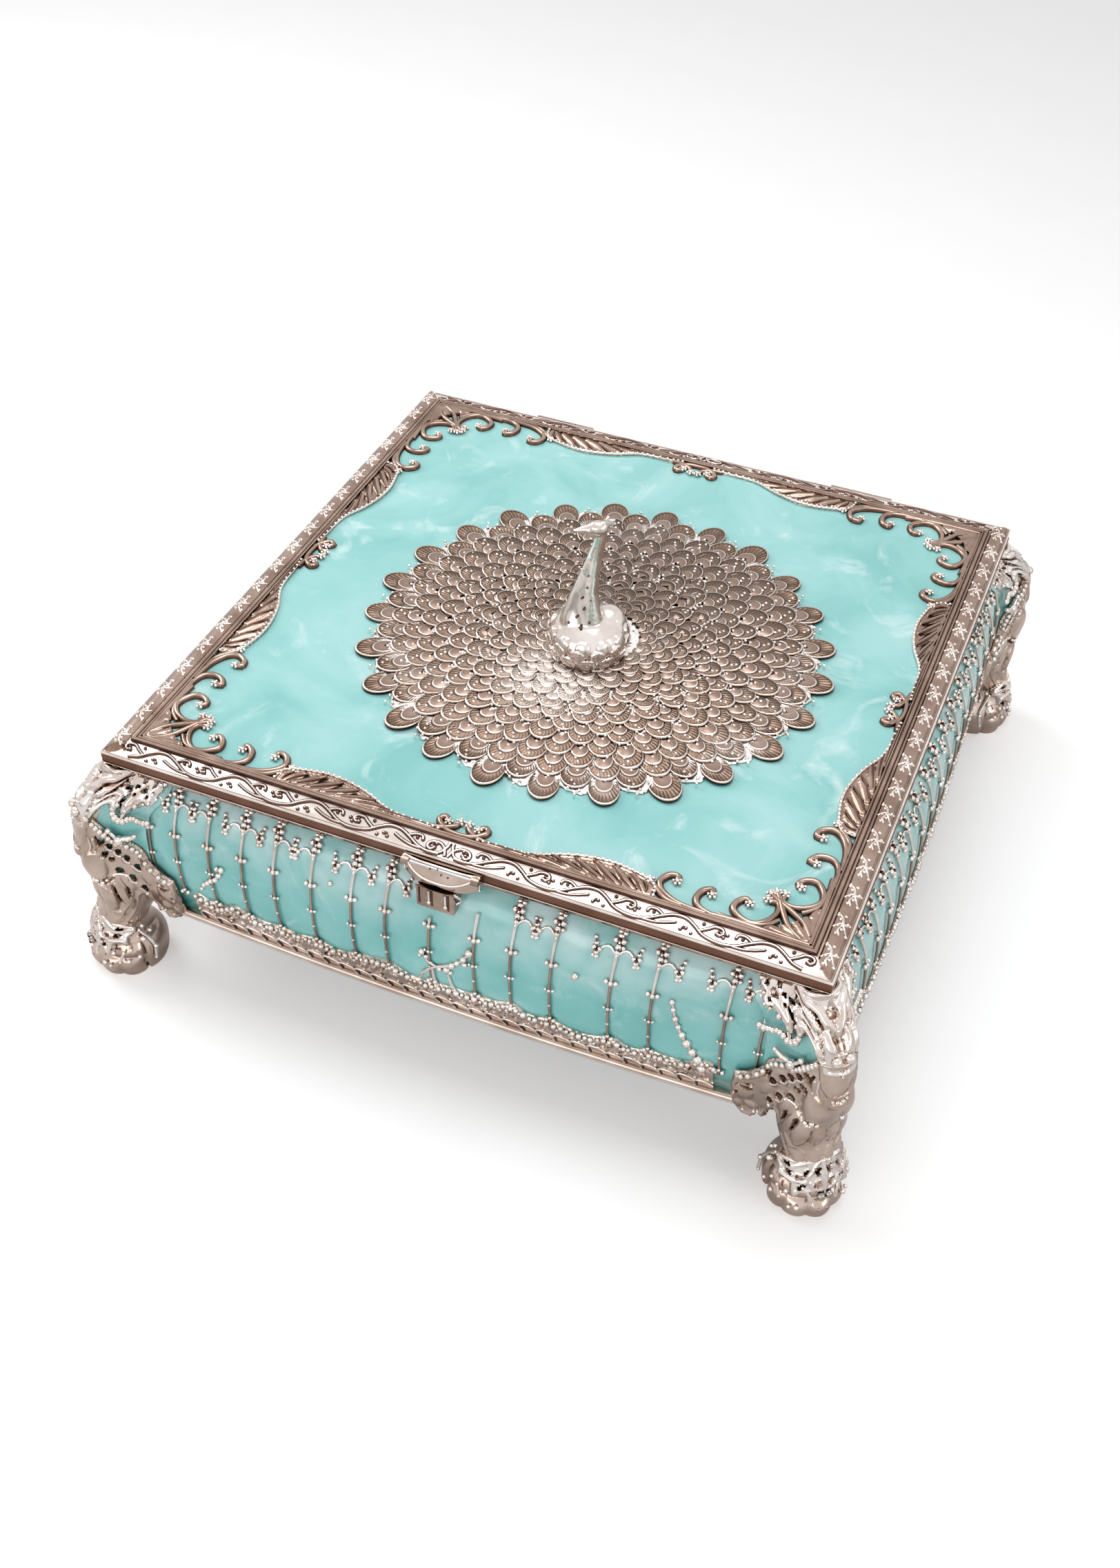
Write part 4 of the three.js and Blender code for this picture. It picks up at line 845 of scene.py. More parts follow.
def featherMaterial():
    # chased rose plate: bright on the raised lines, partly polish and partly painted highlight; painted shade
    # in the flutes and along each line's foot
    material, tree, shader, place = newMaterial("chasedFeatherPlate")
    chart = addNode(tree, "ShaderNodeUVMap", uv_map="chasing")
    apart = addNode(tree, "ShaderNodeSeparateXYZ", {"Vector": chart.outputs["UV"]})
    radial = ramp(tree, apart.outputs["Y"], [
        (0.0, "#9c867a"), (0.455, "#8f796c"), (0.48, "#e8ddd5"), (0.5, "#e8ddd5"), (0.53, "#3a2b23"),
        (0.59, "#917b6e"), (0.83, "#86705f"), (0.89, "#3d2e26"), (0.935, "#ecdfd6"), (0.965, "#cdbbaf"),
        (0.995, "#2c1f19")])
    wave = addNode(tree, "ShaderNodeMath", {0: apart.outputs["X"], 1: tau * 15}, operation="MULTIPLY")
    flute = addNode(tree, "ShaderNodeMath", {0: wave.outputs[0]}, operation="SINE")
    rise = addNode(tree, "ShaderNodeMapRange", {
        "Value": apart.outputs["Y"], "From Min": 0.56, "From Max": 0.64})
    fall = addNode(tree, "ShaderNodeMapRange", {
        "Value": apart.outputs["Y"], "From Min": 0.9, "From Max": 0.86})
    fan = addNode(tree, "ShaderNodeMath", {
        0: rise.outputs["Result"], 1: fall.outputs["Result"]}, operation="MULTIPLY")
    # painted shade in the flutes
    groove = addNode(tree, "ShaderNodeMapRange", {
        "Value": flute.outputs[0], "From Min": -0.2, "From Max": 0.9, "To Max": 0.5})
    dark = addNode(tree, "ShaderNodeMath", {
        0: fan.outputs[0], 1: groove.outputs["Result"]}, operation="MULTIPLY")
    fluted = addNode(tree, "ShaderNodeMix", {
        "Factor": dark.outputs[0], mixA: radial, mixB: linear("#523f35")}, data_type="RGBA")
    # rubbed bright in random patches, and a painted reflection in front of the bird
    cloud = addNode(tree, "ShaderNodeTexNoise", {"Vector": place, "Scale": 70.0, "Detail": 3.0})
    centre = addNode(tree, "ShaderNodeVectorMath", {
        0: place, 1: Vector(rosette["reflectionAt"]) * mm}, operation="DISTANCE")
    paintedReflection = addNode(tree, "ShaderNodeMapRange", {
        "Value": centre.outputs["Value"], "From Min": 0.02, "From Max": 0.005, "To Max": 0.34})
    patches = addNode(tree, "ShaderNodeMapRange", {
        "Value": cloud.outputs["Fac"], "From Min": 0.55, "From Max": 0.75, "To Max": 0.15})
    bright = addNode(tree, "ShaderNodeMath", {
        0: paintedReflection.outputs["Result"], 1: patches.outputs["Result"]}, operation="MAXIMUM")
    # the random patches together with the painted reflection
    worn = addNode(tree, "ShaderNodeMix", {
        "Factor": bright.outputs[0], mixA: fluted.outputs[mixed], mixB: linear("#efe8e3")},
        data_type="RGBA")
    # painted crease shade where ambient occlusion finds hollows
    hollow = addNode(tree, "ShaderNodeAmbientOcclusion", {"Distance": 1.2 * mm}, samples=4, only_local=True)
    depth = addNode(tree, "ShaderNodeMapRange", {
        "Value": hollow.outputs["AO"], "From Min": 0.25, "From Max": 0.7})
    shaded = addNode(tree, "ShaderNodeMix", {
        "Factor": depth.outputs["Result"], mixA: linear("#463229"), mixB: worn.outputs[mixed]},
        data_type="RGBA")
    height = addNode(tree, "ShaderNodeMath", {0: fan.outputs[0], 1: flute.outputs[0]}, operation="MULTIPLY")
    bump = endSurface(tree, shader, shaded.outputs[mixed], 0.38, 1.0, height.outputs[0], 0.5, 0.15)
    bump.invert = True
    return material


def openworkMaterial():
    # pierced ground between the feathers: bright plate with small holes painted dark as shade, about 1.3 mm
    # apart
    material, tree, shader, place = newMaterial("piercedBrightPlate")
    holes = addNode(tree, "ShaderNodeTexVoronoi", {"Vector": place, "Scale": 620.0, "Randomness": 0.8})
    tone = ramp(tree, holes.outputs["Distance"], [(0.16, "#4b342a"), (0.26, "#e9dfd8"), (0.6, "#fbf8f6")])
    endSurface(tree, shader, tone, 0.22, 1.0, holes.outputs["Distance"], 0.6, 0.5)
    return material


def coneHeight(radius):
    return float(np.interp(radius, [rosette["land"][0], rosette["edge"][0]],
                           [rosette["land"][1], rosette["edge"][1]]))


def rosettePiece():
    cx, cy = rosette["centre"]
    tree = featherTree()
    plate, openwork = featherMaterial(), openworkMaterial()
    shapes = {True: featherShape(37, True), False: featherShape(13, False)}
    objects, grains = [], []
    for number, (tip, count, length, width, turn, lift) in enumerate(rosette["rings"]):
        root = tip - length
        low = coneHeight(root) - 0.15
        shape = shapes[number < rosette["fluted"]]
        source = inScene("featherSource", shape.data.copy())
        angle = math.radians(rosette["firstTurn"]) + turn * tau / count
        objects.append(grow(f"feathers{number}", source, tree, {
            "Count": count, "Radius": root * mm, "Size": (length * mm, width * mm, rosette["thick"] * mm),
            "Tilt": -math.atan2(coneHeight(tip) + lift - low, length), "Turn": angle,
            "Place": (cx * mm, cy * mm, low * mm), "Seed": rosette["seed"] + number, "Material": plate}))
        if number < rosette["open"]:
            for k in range(count):
                for shift, back in rosette["openwork"]:
                    way, r = angle + tau * (k + 0.5 + shift) / count, tip - back * length
                    grains.append((cx + r * math.cos(way), cy + r * math.sin(way),
                                   coneHeight(r) + rosette["grain"] - 0.1))
    for shape in shapes.values():
        bpy.data.objects.remove(shape)
    edge, inner, hub = rosette["discRadius"], rosette["land"][0], rosette["hub"]
    ring = [(edge, rosette["under"]), *[(edge + out, z) for out, z in rosette["lip"]],
            (edge, coneHeight(edge) + 0.15),
            (inner, coneHeight(inner) - 0.1), hub, (hub[0], rosette["under"])]
    count = rosette["discSides"]
    vertices = []
    for k in range(count):
        for n, (r, z) in enumerate(ring):
            r += rosette["wave"] * math.cos(k * tau / 4) if n in (1, 2) else 0
            vertices.append((cx + r * math.cos(tau * k / count), cy + r * math.sin(tau * k / count), z))
    disc = meshObject("disc", vertices, ringFaces(count, len(ring), closed=True), openwork, 40)
    faceOutwards(disc)
    finishPiece(joinPieces("rosette_feathers", objects), "lid", ["feather_rosette"])
    ground = joinPieces("rosette_ground", [disc,
            beads("grains", grains, rosette["openworkBead"], brightMetal, 6)])
    finishPiece(ground, "lid")


rosettePiece()
print("rosette made")


# Walls: bombe enamel, softly pillowed between the wires that are laid over it

wallLook = {
    "step": 1.5, "pillow": 0.4, "dentHalf": 2.6, "ripple": 0.18, "grain": 11.0,
    "frontStems": [-87.5, -79, -68.5, -58, -48, -36.7, -24.7, -14.7, -2, 10.7, 21, 32, 48, 59, 78, 87.5],
    "sideStems": [round(-84.8 + 10.6 * k, 2) for k in range(17)],
}

wallCurve = np.array(catmull(casket["wallLevels"], 16))


def wallReach(a, z):
    share = (np.asarray(z, float) - casket["railTop"]) / casket["wallHeight"]
    bulge = np.interp(share, wallCurve[:, 0], wallCurve[:, 1])
    return casket["lidHalf"] + bulge - casket["wallBow"] * (np.asarray(a, float) / casket["wallHalf"]) ** 2


# A point over the front wall: along it, height above the ground, and out from its face
def wallPlace(a, z, h):
    a, z, h = np.broadcast_arrays(np.asarray(a, float), np.asarray(z, float), np.asarray(h, float))
    slope = (wallReach(a, z + 0.2) - wallReach(a, z - 0.2)) / 0.4
    size = np.sqrt(1 + slope * slope)
    return np.stack([a, -(wallReach(a, z) + h / size), z - h * slope / size], -1)


def wallPoint(a, z, h):
    return tuple(wallPlace(a, z, h).tolist())


def enamelWalls():
    half = casket["wallHalf"]
    for side, quarters in sideTurns.items():
        stems = wallLook["frontStems"] if side == "front" else wallLook["sideStems"]

        def pillows(a, z, stems=stems, layer=2.0 + quarters):
            gap = np.min(np.abs(a[..., None] - np.array(stems)), -1)
            dented = wallLook["pillow"] * np.exp(-(gap / wallLook["dentHalf"]) ** 2)
            return ripples(a, z, wallLook, layer) - 0.4 * wallLook["ripple"] - dented

        wall = reliefSheet(f"{side}_enamel_wall", pillows, wallPlace, (-half, half),
                           (casket["railTop"], casket["mouthBottom"]), wallLook["step"], wallEnamel, 1.7)
        wall.data.transform(Matrix.Rotation(quarters * math.pi / 2, 4, "Z"))
        finishPiece(wall, "base", [f"{side}_wall"])


# Wires, knots and flower heads over the walls, as [along from the stem, height]
stemWork = {
    # the stems are bright plate above rose shanks: a painted highlight on the upper part of each wire
    "stem": [(0, 70.0), (0, 66.5), (-0.2, 61.5), (-0.3, 58.5)], "radius": (0.55, 0.5, 0.42, 0.42),
    "shank": [(-0.3, 58.8), (-0.5, 52), (-0.5, 44), (-0.4, 35.0)], "shankRadius": (0.42, 0.36, 0.4),
    "knots": [(-0.25, 58.6, 0.85), (-1.5, 58.9, 0.75), (1.0, 58.9, 0.75), (-0.5, 49.2, 0.6),
              (-1.5, 49.4, 0.5), (0.5, 49.4, 0.5), (-0.5, 43.0, 0.45), (-1.3, 36.4, 0.75),
              (0.6, 36.6, 0.75), (-0.4, 37.4, 0.6)],
    "head": [(0, 70.6, 1.0), (-1.0, 69.8, 0.95), (1.0, 69.8, 0.95), (0, 68.6, 1.0), (-0.4, 71.2, 0.8),
             (0.8, 71.1, 0.8), (0, 67.4, 0.8), (1.3, 68.6, 0.7)],
    "headEyes": [(0, 69.9, 0.42), (0.3, 68.2, 0.3)],
    "arc": [(0.2, 66.6), (1.3, 67.9), (2.8, 68.3), (4.2, 67.4), (4.9, 66.0)],
    "tuft": [(5.2, 66.2, 0.95), (4.5, 67.0, 0.85), (6.0, 67.2, 0.85), (5.6, 68.3, 0.85), (6.1, 69.3, 0.7),
             (5.0, 65.2, 0.8), (5.9, 65.3, 0.7)],
    "tuftEyes": [(5.3, 66.9, 0.4), (5.6, 68.6, 0.26)],
    "proud": 0.25, "underClasp": 62.0, "besideClasp": 66.6,
}

budSprigs = [
    # under the clasp: crossed stalks with buds
    {"lines": [[(-0.5, 33.5), (-1.6, 38), (-1.8, 43.5)], [(5.2, 33.8), (3.6, 37.5), (2.6, 42.5)],
               [(-5.2, 38.5), (-1.5, 43.0), (2.5, 45.5), (6.5, 49), (9.0, 53)],
               [(-4.0, 47.5), (-2.8, 45.0), (-0.6, 43.6)], [(-6.0, 36.0), (-4.2, 40.6)]],
     "buds": [(9.2, 53.6, 1.3), (7.6, 50.6, 1.0), (5.8, 48.4, 0.9), (8.0, 48.8, 0.9), (4.2, 46.6, 1.1),
              (2.6, 44.2, 1.1), (0.6, 43.6, 0.9), (3.6, 43.4, 0.8), (-4.4, 48.4, 1.0), (-3.2, 47.0, 0.8),
              (-5.0, 46.8, 0.7), (5.4, 33.6, 0.8), (-1.0, 33.4, 0.8)]},
    {"lines": [[(-72.5, 42.0), (-70.0, 45.5), (-66.5, 49.0), (-65.0, 52.0)]],
     "buds": [(-72.8, 41.4, 0.7), (-71.6, 43.6, 0.9), (-70.2, 45.0, 1.0), (-69.0, 46.4, 0.9),
              (-67.4, 47.6, 0.9), (-66.0, 50.0, 1.0), (-64.9, 52.4, 1.0), (-66.4, 52.2, 0.8)]},
    {"lines": [[(73.0, 33.0), (71.5, 39.0), (68.0, 46.0), (65.5, 52.0), (64.0, 58.0)]],
     "buds": [(73.2, 36.0, 1.4), (72.0, 39.5, 1.5), (70.4, 42.2, 1.3), (68.8, 45.2, 1.4), (67.4, 48.0, 1.1),
              (66.2, 50.6, 0.9), (65.2, 53.2, 1.0), (64.4, 56.2, 0.8), (63.9, 58.6, 0.9)]},
    {"lines": [[(38.0, 57.0), (38.6, 57.8)]], "buds": [(38.3, 57.4, 1.1)]},
    {"lines": [[(-31.5, 61.0), (-30.8, 62.0)]], "buds": [(-31.0, 61.5, 0.8)]},
]


def wallWires():
    proud = stemWork["proud"]
    for side, quarters in sideTurns.items():
        stems = wallLook["frontStems"] if side == "front" else wallLook["sideStems"]
        lines, shanks, dots, sizes, eyes, eyeSizes = [], [], [], [], [], []
        for number, a in enumerate(stems):
            top = casket["mouthBottom"]
            if side == "front" and abs(a) < 12:
                top = stemWork["underClasp"] if abs(a) < 6 else stemWork["besideClasp"]
            lines.append(([wallPoint(a + x, z, proud) for x, z in stemWork["stem"] if z <= top],
                          stemWork["radius"]))
            shanks.append(([wallPoint(a + x, z, proud) for x, z in stemWork["shank"]],
                           stemWork["shankRadius"]))
            for x, z, r in stemWork["knots"] + (stemWork["head"] if top > 70 else []):
                if z <= top:
                    dots.append(wallPoint(a + x, z, proud + 0.1))
                    sizes.append(r)
            for x, z, r in stemWork["headEyes"] if top > 70 else []:
                eyes.append(wallPoint(a + x, z, proud + 0.95))
                eyeSizes.append(r)
            ways = (1, -1) if number % 3 == 0 else (1,) if number % 3 == 1 else (-1,)
            for way in ways:
                if top > 70 and abs(a + way * 5) < 88:
                    lines.append(([wallPoint(a + way * x, z, proud) for x, z in stemWork["arc"]], 0.36))
                    for x, z, r in stemWork["tuft"]:
                        dots.append(wallPoint(a + way * x, z, proud + 0.1))
                        sizes.append(r * 0.95)
                    for x, z, r in stemWork["tuftEyes"]:
                        eyes.append(wallPoint(a + way * x, z, proud + 0.85))
                        eyeSizes.append(r)
        if side == "front":
            for sprig in budSprigs:
                lines += [([wallPoint(x, z, proud) for x, z in path], (0.45, 0.55, 0.4))
                          for path in sprig["lines"]]
                for x, z, r in sprig["buds"]:
                    dots.append(wallPoint(x, z, proud + 0.2))
                    sizes.append(r)
        # bright stems over rose shanks: painted highlight on the upper wires
        obj = joinPieces(f"{side}_wall_wires", [
            wires("stems", lines, brightMetal, 8, 1.0), wires("shanks", shanks, roseMetal, 8, 1.0),
            beads("knots", dots, sizes, brightMetal, 8), beads("eyes", eyes, eyeSizes, darkMetal, 7)])
        obj.data.transform(Matrix.Rotation(quarters * math.pi / 2, 4, "Z"))
        finishPiece(obj, "base")


# Leaf band at the wall's foot: scale leaves on the rail, pierced leaves above, beaded top edge
lace = {
    "half": 76.3, "low": 26.4, "high": 39.2, "step": 0.34, "cell": 4.9, "cellTop": 30.0, "hole": 3.1,
    "seed": 5, "top": 34.6, "beadPitch": 1.75,
    # rows of pierced holes, as (height, shift along in holes, half as tall)
    "rows": [(31.9, 0.0, 1.25), (34.2, 0.5, 1.0), (36.6, 0.0, 0.9)],
    # where the band climbs the wall, as [along, how much higher, half as wide]
    "lumps": [(-63.0, 3.6, 3.4), (-17.5, 3.2, 6.5), (21.0, 1.4, 3.0), (49.0, 1.2, 3.0), (73.5, 3.4, 3.6),
              (-75.0, 3.0, 3.0)],
}


def cellRandom(number, salt):
    return noise.cell(Vector((number + 0.5, salt + 0.5, lace["seed"] + 0.5)))


def laceTop(a):
    top = lace["top"] + 0.7 * np.sin(a / 9.0) + 0.35 * np.sin(a / 2.3)
    for middle, more, half in lace["lumps"]:
        top = top + more * np.exp(-((a - middle) / half) ** 2)
    return top


# The wire round one scale leaf on the rail, leaning a little, as [along, height]
def leafWire(number):
    lean, tall = 0.9 + 0.5 * cellRandom(number, 1), lace["cellTop"] + 0.5 * cellRandom(number, 2)
    left, right = (number - 0.5) * lace["cell"], (number + 0.5) * lace["cell"]
    return [(left + lean, 26.6), (left + 0.2, 28.4), (left + 0.5, tall - 0.4), (left + 1.9, tall + 0.3),
            (right - 1.0, tall - 0.1), (right + 0.3, tall - 1.0)]


def laceField(a, z):
    hole = lace["hole"]
    height = np.full(a.shape, 0.5)
    height = np.where(z < lace["cellTop"], 0.3, height)
    for row, (middle, shift, tallness) in enumerate(lace["rows"]):
        count = np.floor(a / hole + 0.5 + shift)
        v = a - (count - shift) * hole
        lean = 0.4 * (z - middle) * np.where(np.mod(count, 2) > 0, 1, -1)
        size = 0.9 + 0.25 * np.vectorize(lambda n: cellRandom(n, 3 + row))(count)
        inside = 1 - ((v - lean) / (1.1 * size)) ** 2 - ((z - middle) / (tallness * size)) ** 2
        opened = np.vectorize(lambda n: cellRandom(n, 7 + row))(count) > -0.5
        cut = np.where(opened & (z > lace["cellTop"] + 0.3), np.clip(inside * 1.6, -1, 1), -1)
        rolled = np.minimum(height + 0.3 * np.exp(-((inside + 0.25) / 0.2) ** 2),
                            0.9 - 1.8 * np.clip(cut + 0.35, 0, 1.2))
        height = np.where(cut > -0.35, rolled, height)
    top = laceTop(a)
    return np.where(z > top, 0.5 - 1.6 * (z - top), height)


def laceBands():
    half, low, high = lace["half"], lace["low"], lace["high"]
    place = lambda a, z, h: wallPlace(a, z, h + 0.35)
    band = reliefSheet("lace", laceField, place, (-half, half), (low, high), lace["step"], paleMetal, 0.62)
    dots, sizes = [], []
    for k in range(int(2 * half / lace["beadPitch"]) + 1):
        a = -half + 0.5 + k * lace["beadPitch"] + 0.3 * cellRandom(k, 12)
        z = float(laceTop(a)) + 0.35 * cellRandom(k, 13)
        dots.append(wallPoint(a, z, 0.8))
        sizes.append(0.82 + 0.25 * cellRandom(k, 11))
        if k % 2 == 0:
            dots.append(wallPoint(a + 0.9, z - 1.1 + 0.4 * cellRandom(k, 14), 0.9))
            sizes.append(0.55)
        if k % 3 == 0:
            dots.append(wallPoint(a, lace["cellTop"] + 0.9, 0.9))
            sizes.append(0.45)
    number = int(half / lace["cell"])
    leaves = range(-number, number + 1)
    bright = [([wallPoint(a, z, 0.95) for a, z in leafWire(n)], (0.3, 0.34, 0.4, 0.34), 0, 0.45)
              for n in leaves]
    shade = [([wallPoint(a + 0.34, z - 0.3, 0.72) for a, z in leafWire(n)], 0.34) for n in leaves]
    trim = joinPieces("laceTrim", [wires("laceWires", bright, brightMetal, 7, 0.8),
                                   wires("laceShade", shade, darkMetal, 6, 0.9),
                                   beads("laceBeads", dots, sizes, brightMetal, 7)])
    for side, quarters in sideTurns.items():
        finishPiece(turnedCopy(band, f"{side}_lace_band", quarters), "base",
                    [f"{side}_leaf_band"])
        finishPiece(turnedCopy(trim, f"{side}_lace_trim", quarters), "base")
    bpy.data.objects.remove(band)
    bpy.data.objects.remove(trim)


# Bottom rail: a rounded moulding under each wall, its section as [out from the wall's foot, height]
railLook = {
    "section": [(0.0, 23.5), (1.1, 23.55), (1.75, 24.0), (1.95, 24.7), (1.75, 25.4), (1.35, 25.7),
                (1.35, 25.9), (1.0, 26.15), (0.0, 26.2)],
    "inner": 95.0, "steps": 40, "beadLevel": 24.5, "beadOut": 1.25,
}


def bottomRails():
    section, steps = railLook["section"], railLook["steps"]
    vertices = []
    for i in range(steps + 1):
        a = -casket["wallHalf"] + 2 * casket["wallHalf"] * i / steps
        reach = float(wallReach(a, casket["railTop"]))
        vertices.append((a, -railLook["inner"], section[0][1]))
        vertices += [(a, -(reach - 0.15 + out), z) for out, z in section]
        vertices.append((a, -railLook["inner"], section[-1][1]))
    rail = meshObject("rail", vertices, ringFaces(steps + 1, len(section) + 2), paleMetal, 50)
    faceOutwards(rail)
    line = [(a, -(float(wallReach(a, casket["railTop"])) + railLook["beadOut"]), railLook["beadLevel"])
            for a in np.linspace(-90.5, 90.5, 30)]
    rail = joinPieces("rail", [rail, wires("railBead", [(line, 0.62)], brightMetal, 8, 4.0)])
    for side, quarters in sideTurns.items():
        finishPiece(turnedCopy(rail, f"{side}_rail_moulding", quarters), "base",
                    [f"{side}_bottom_rail"])
    bpy.data.objects.remove(rail)


enamelWalls()
wallWires()
laceBands()
bottomRails()
print("walls made")


# Corner legs: a slender ridge on each corner, hollow flanks swept back to both walls, slim ankle and lion paw

legLook = {
    # height, radius of the ridge, how far out from legAxis its axis stands
    "levels": [(0, 9.2, 1.7), (2.8, 10.4, 2.0), (7.7, 10.4, 1.9), (11, 9.4, 2.2), (14, 8.0, 2.7),
               (16.5, 7.3, 2.5), (20, 7.3, 1.4), (24, 7.8, 0.2), (28, 8.0, -0.2), (32, 7.5, 0.6),
               (36, 6.4, 2.0), (40, 4.9, 3.7), (44, 4.5, 4.5), (50, 4.3, 4.6), (56, 4.3, 4.5),
               (60, 4.4, 3.7), (64, 4.6, 2.1), (68, 5.0, -1.4), (71.7, 4.9, -3.5), (74.4, 4.6, -4.3)],
    "around": 108, "up": 150, "toeSpread": 38.0, "flankAngle": 50.0, "hollow": 0.9, "wingLift": 1.3,
    # each toe is a round tube round the foot: how far out its middle line stands, its half width and height
    "toeRing": 7.9, "toeHalf": 3.7, "toeLevel": 3.3, "toeTall": 3.5,
    "low": 18.0, "high": 74.4, "reach": 30.0, "grid": 0.4, "sink": 0.9, "top": 71.7,
    # square bars in the casting, as (outer, inner, low, high): post behind the corner, lug under the floor
    "post": (97.1, 91.5, 23.5, 71.6), "lug": (94.7, 80.0, 21.0, 26.1),
}

legCurve = np.array(catmull(legLook["levels"], 8))


def legAt(z):
    return (float(np.interp(z, legCurve[:, 0], legCurve[:, 1])),
            casket["legAxis"] + float(np.interp(z, legCurve[:, 0], legCurve[:, 2])))


# Plan of one half of a leg at a height, as [along the wall, out]: ridge, hollow flank, then the wall
def legPlan(z):
    radius, axis = legAt(z)
    turns = np.radians(45 + np.linspace(0, legLook["flankAngle"], 12))
    ridge = [(axis + radius * math.cos(t), axis + radius * math.sin(t)) for t in turns]
    edge = casket["postInner"]
    foot, meet = np.array(ridge[-1]), np.array((edge, float(wallReach(edge, z)) + legLook["wingLift"]))
    middle = (foot + meet) / 2 - (0, legLook["hollow"])
    flank = [foot * (1 - t) ** 2 + 2 * middle * t * (1 - t) + meet * t ** 2
             for t in np.linspace(0, 1, 10)[1:]]
    wall = [(a, float(wallReach(a, z)) + legLook["wingLift"]) for a in np.arange(edge - 1, edge - 24, -1.0)]
    points = np.array([*ridge, *flank, *wall])
    length = np.concatenate([[0], np.cumsum(np.hypot(*np.diff(points, axis=0).T))])
    u = np.arange(0, legLook["reach"] + 4, legLook["grid"])
    return np.stack([np.interp(u, length, points[:, 0]), np.interp(u, length, points[:, 1])], -1)


legHeights = np.linspace(legLook["low"], legLook["high"], 109)
legPlans = np.stack([legPlan(z) for z in legHeights])


# A point over the front left leg: millimetres round it from its ridge, height, and out from it
def legPlace(u, z, h):
    u, z, h = np.broadcast_arrays(np.asarray(u, float), np.asarray(z, float), np.asarray(h, float))

    def onSurface(u, z):
        z = np.clip(z, legLook["low"], legLook["high"])
        i = np.clip((z - legHeights[0]) / (legHeights[1] - legHeights[0]), 0, len(legHeights) - 1.001)
        j = np.clip(np.abs(u) / legLook["grid"], 0, legPlans.shape[1] - 1.001)
        row, column = i.astype(int), j.astype(int)
        up, over = (i - row)[..., None], (j - column)[..., None]
        lower = legPlans[row, column] * (1 - over) + legPlans[row, column + 1] * over
        upper = legPlans[row + 1, column] * (1 - over) + legPlans[row + 1, column + 1] * over
        along, out = np.moveaxis(lower * (1 - up) + upper * up, -1, 0)
        return np.stack([np.where(u >= 0, -along, -out), np.where(u >= 0, -out, -along), z], -1)

    normal = np.cross(onSurface(u + 0.5, z) - onSurface(u - 0.5, z),
                      onSurface(u, z + 0.5) - onSurface(u, z - 0.5))
    normal /= np.linalg.norm(normal, axis=-1, keepdims=True)
    return onSurface(u, z) + normal * h[..., None]


# A point round the ankle and paw: millimetres round it from its outward corner, height, and out from it
def pawPlace(u, z, h):
    u, z, h = np.broadcast_arrays(np.asarray(u, float), np.asarray(z, float), np.asarray(h, float))
    radius = np.interp(z, legCurve[:, 0], legCurve[:, 1])
    axis = casket["legAxis"] + np.interp(z, legCurve[:, 0], legCurve[:, 2])
    angle = 1.25 * math.pi + u / 9.0
    return np.stack([-axis + (radius + h) * np.cos(angle), -axis + (radius + h) * np.sin(angle),
                     z + 0.6 * h], -1)


def legPoint(u, z, h):
    return tuple(legPlace(u, z, h).tolist())


def pawPoint(u, z, h):
    return tuple(pawPlace(u, z, h).tolist())


def legShaft():
    look = legLook
    around, up = look["around"], look["up"]
    vertices = []
    for i in range(up + 1):
        z = look["top"] * (i / up) ** 1.5
        radius, axis = legAt(z)
        for k in range(around):
            turn = tau * k / around
            away = math.degrees(math.atan2(math.sin(turn), math.cos(turn)))
            r = radius - 0.3 * min(max(z - 16, 0), 1)
            if z < 12 and abs(away) < 104:
                # the foot draws in behind the toes, which stand out round and long
                above, below = (z - look["toeLevel"]) / look["toeTall"], 1 - z / look["toeLevel"]
                tall = 1 - above ** 2 if above > 0 else 1 - 0.25 * below ** 2
                asides = [look["toeRing"] * math.radians(away - look["toeSpread"] * n)
                          for n in (-2, -1, 0, 1, 2)]
                toe = max(look["toeHalf"] ** 2 - aside ** 2 for aside in asides)
                longer = 1.2 - 0.006 * abs(away)
                knuckle = 1.1 * math.exp(-((z - 8.6) / 2.0) ** 2) * math.sqrt(max(toe, 0)) / look["toeHalf"]
                r = max(r - 1.6 + knuckle,
                        look["toeRing"] + longer * math.sqrt(max(toe, 0)) * math.sqrt(max(tall, 0)))
            angle = 1.25 * math.pi + turn
            vertices.append((-axis + r * math.cos(angle), -axis + r * math.sin(angle), z))
    obj = meshObject("shaft", vertices, ringFaces(up + 1, around), paleMetal, 80)
    faceOutwards(obj)
    return obj


# How far points lie inside an outline, less than nothing outside it
def insideBy(u, z, outline):
    inside, nearest = np.zeros(u.shape, bool), np.full(u.shape, 1e9)
    for (u0, z0), (u1, z1) in zip(outline, outline[1:] + outline[:1]):
        share = np.clip(((u - u0) * (u1 - u0) + (z - z0) * (z1 - z0)) / ((u1 - u0) ** 2 + (z1 - z0) ** 2),
                        0, 1)
        nearest = np.minimum(nearest, np.hypot(u - u0 - share * (u1 - u0), z - z0 - share * (z1 - z0)))
        if z0 != z1:
            crossed = ((z0 > z) != (z1 > z)) & (u < (u1 - u0) * (z - z0) / (z1 - z0) + u0)
            inside ^= crossed
    return np.where(inside, nearest, -nearest)


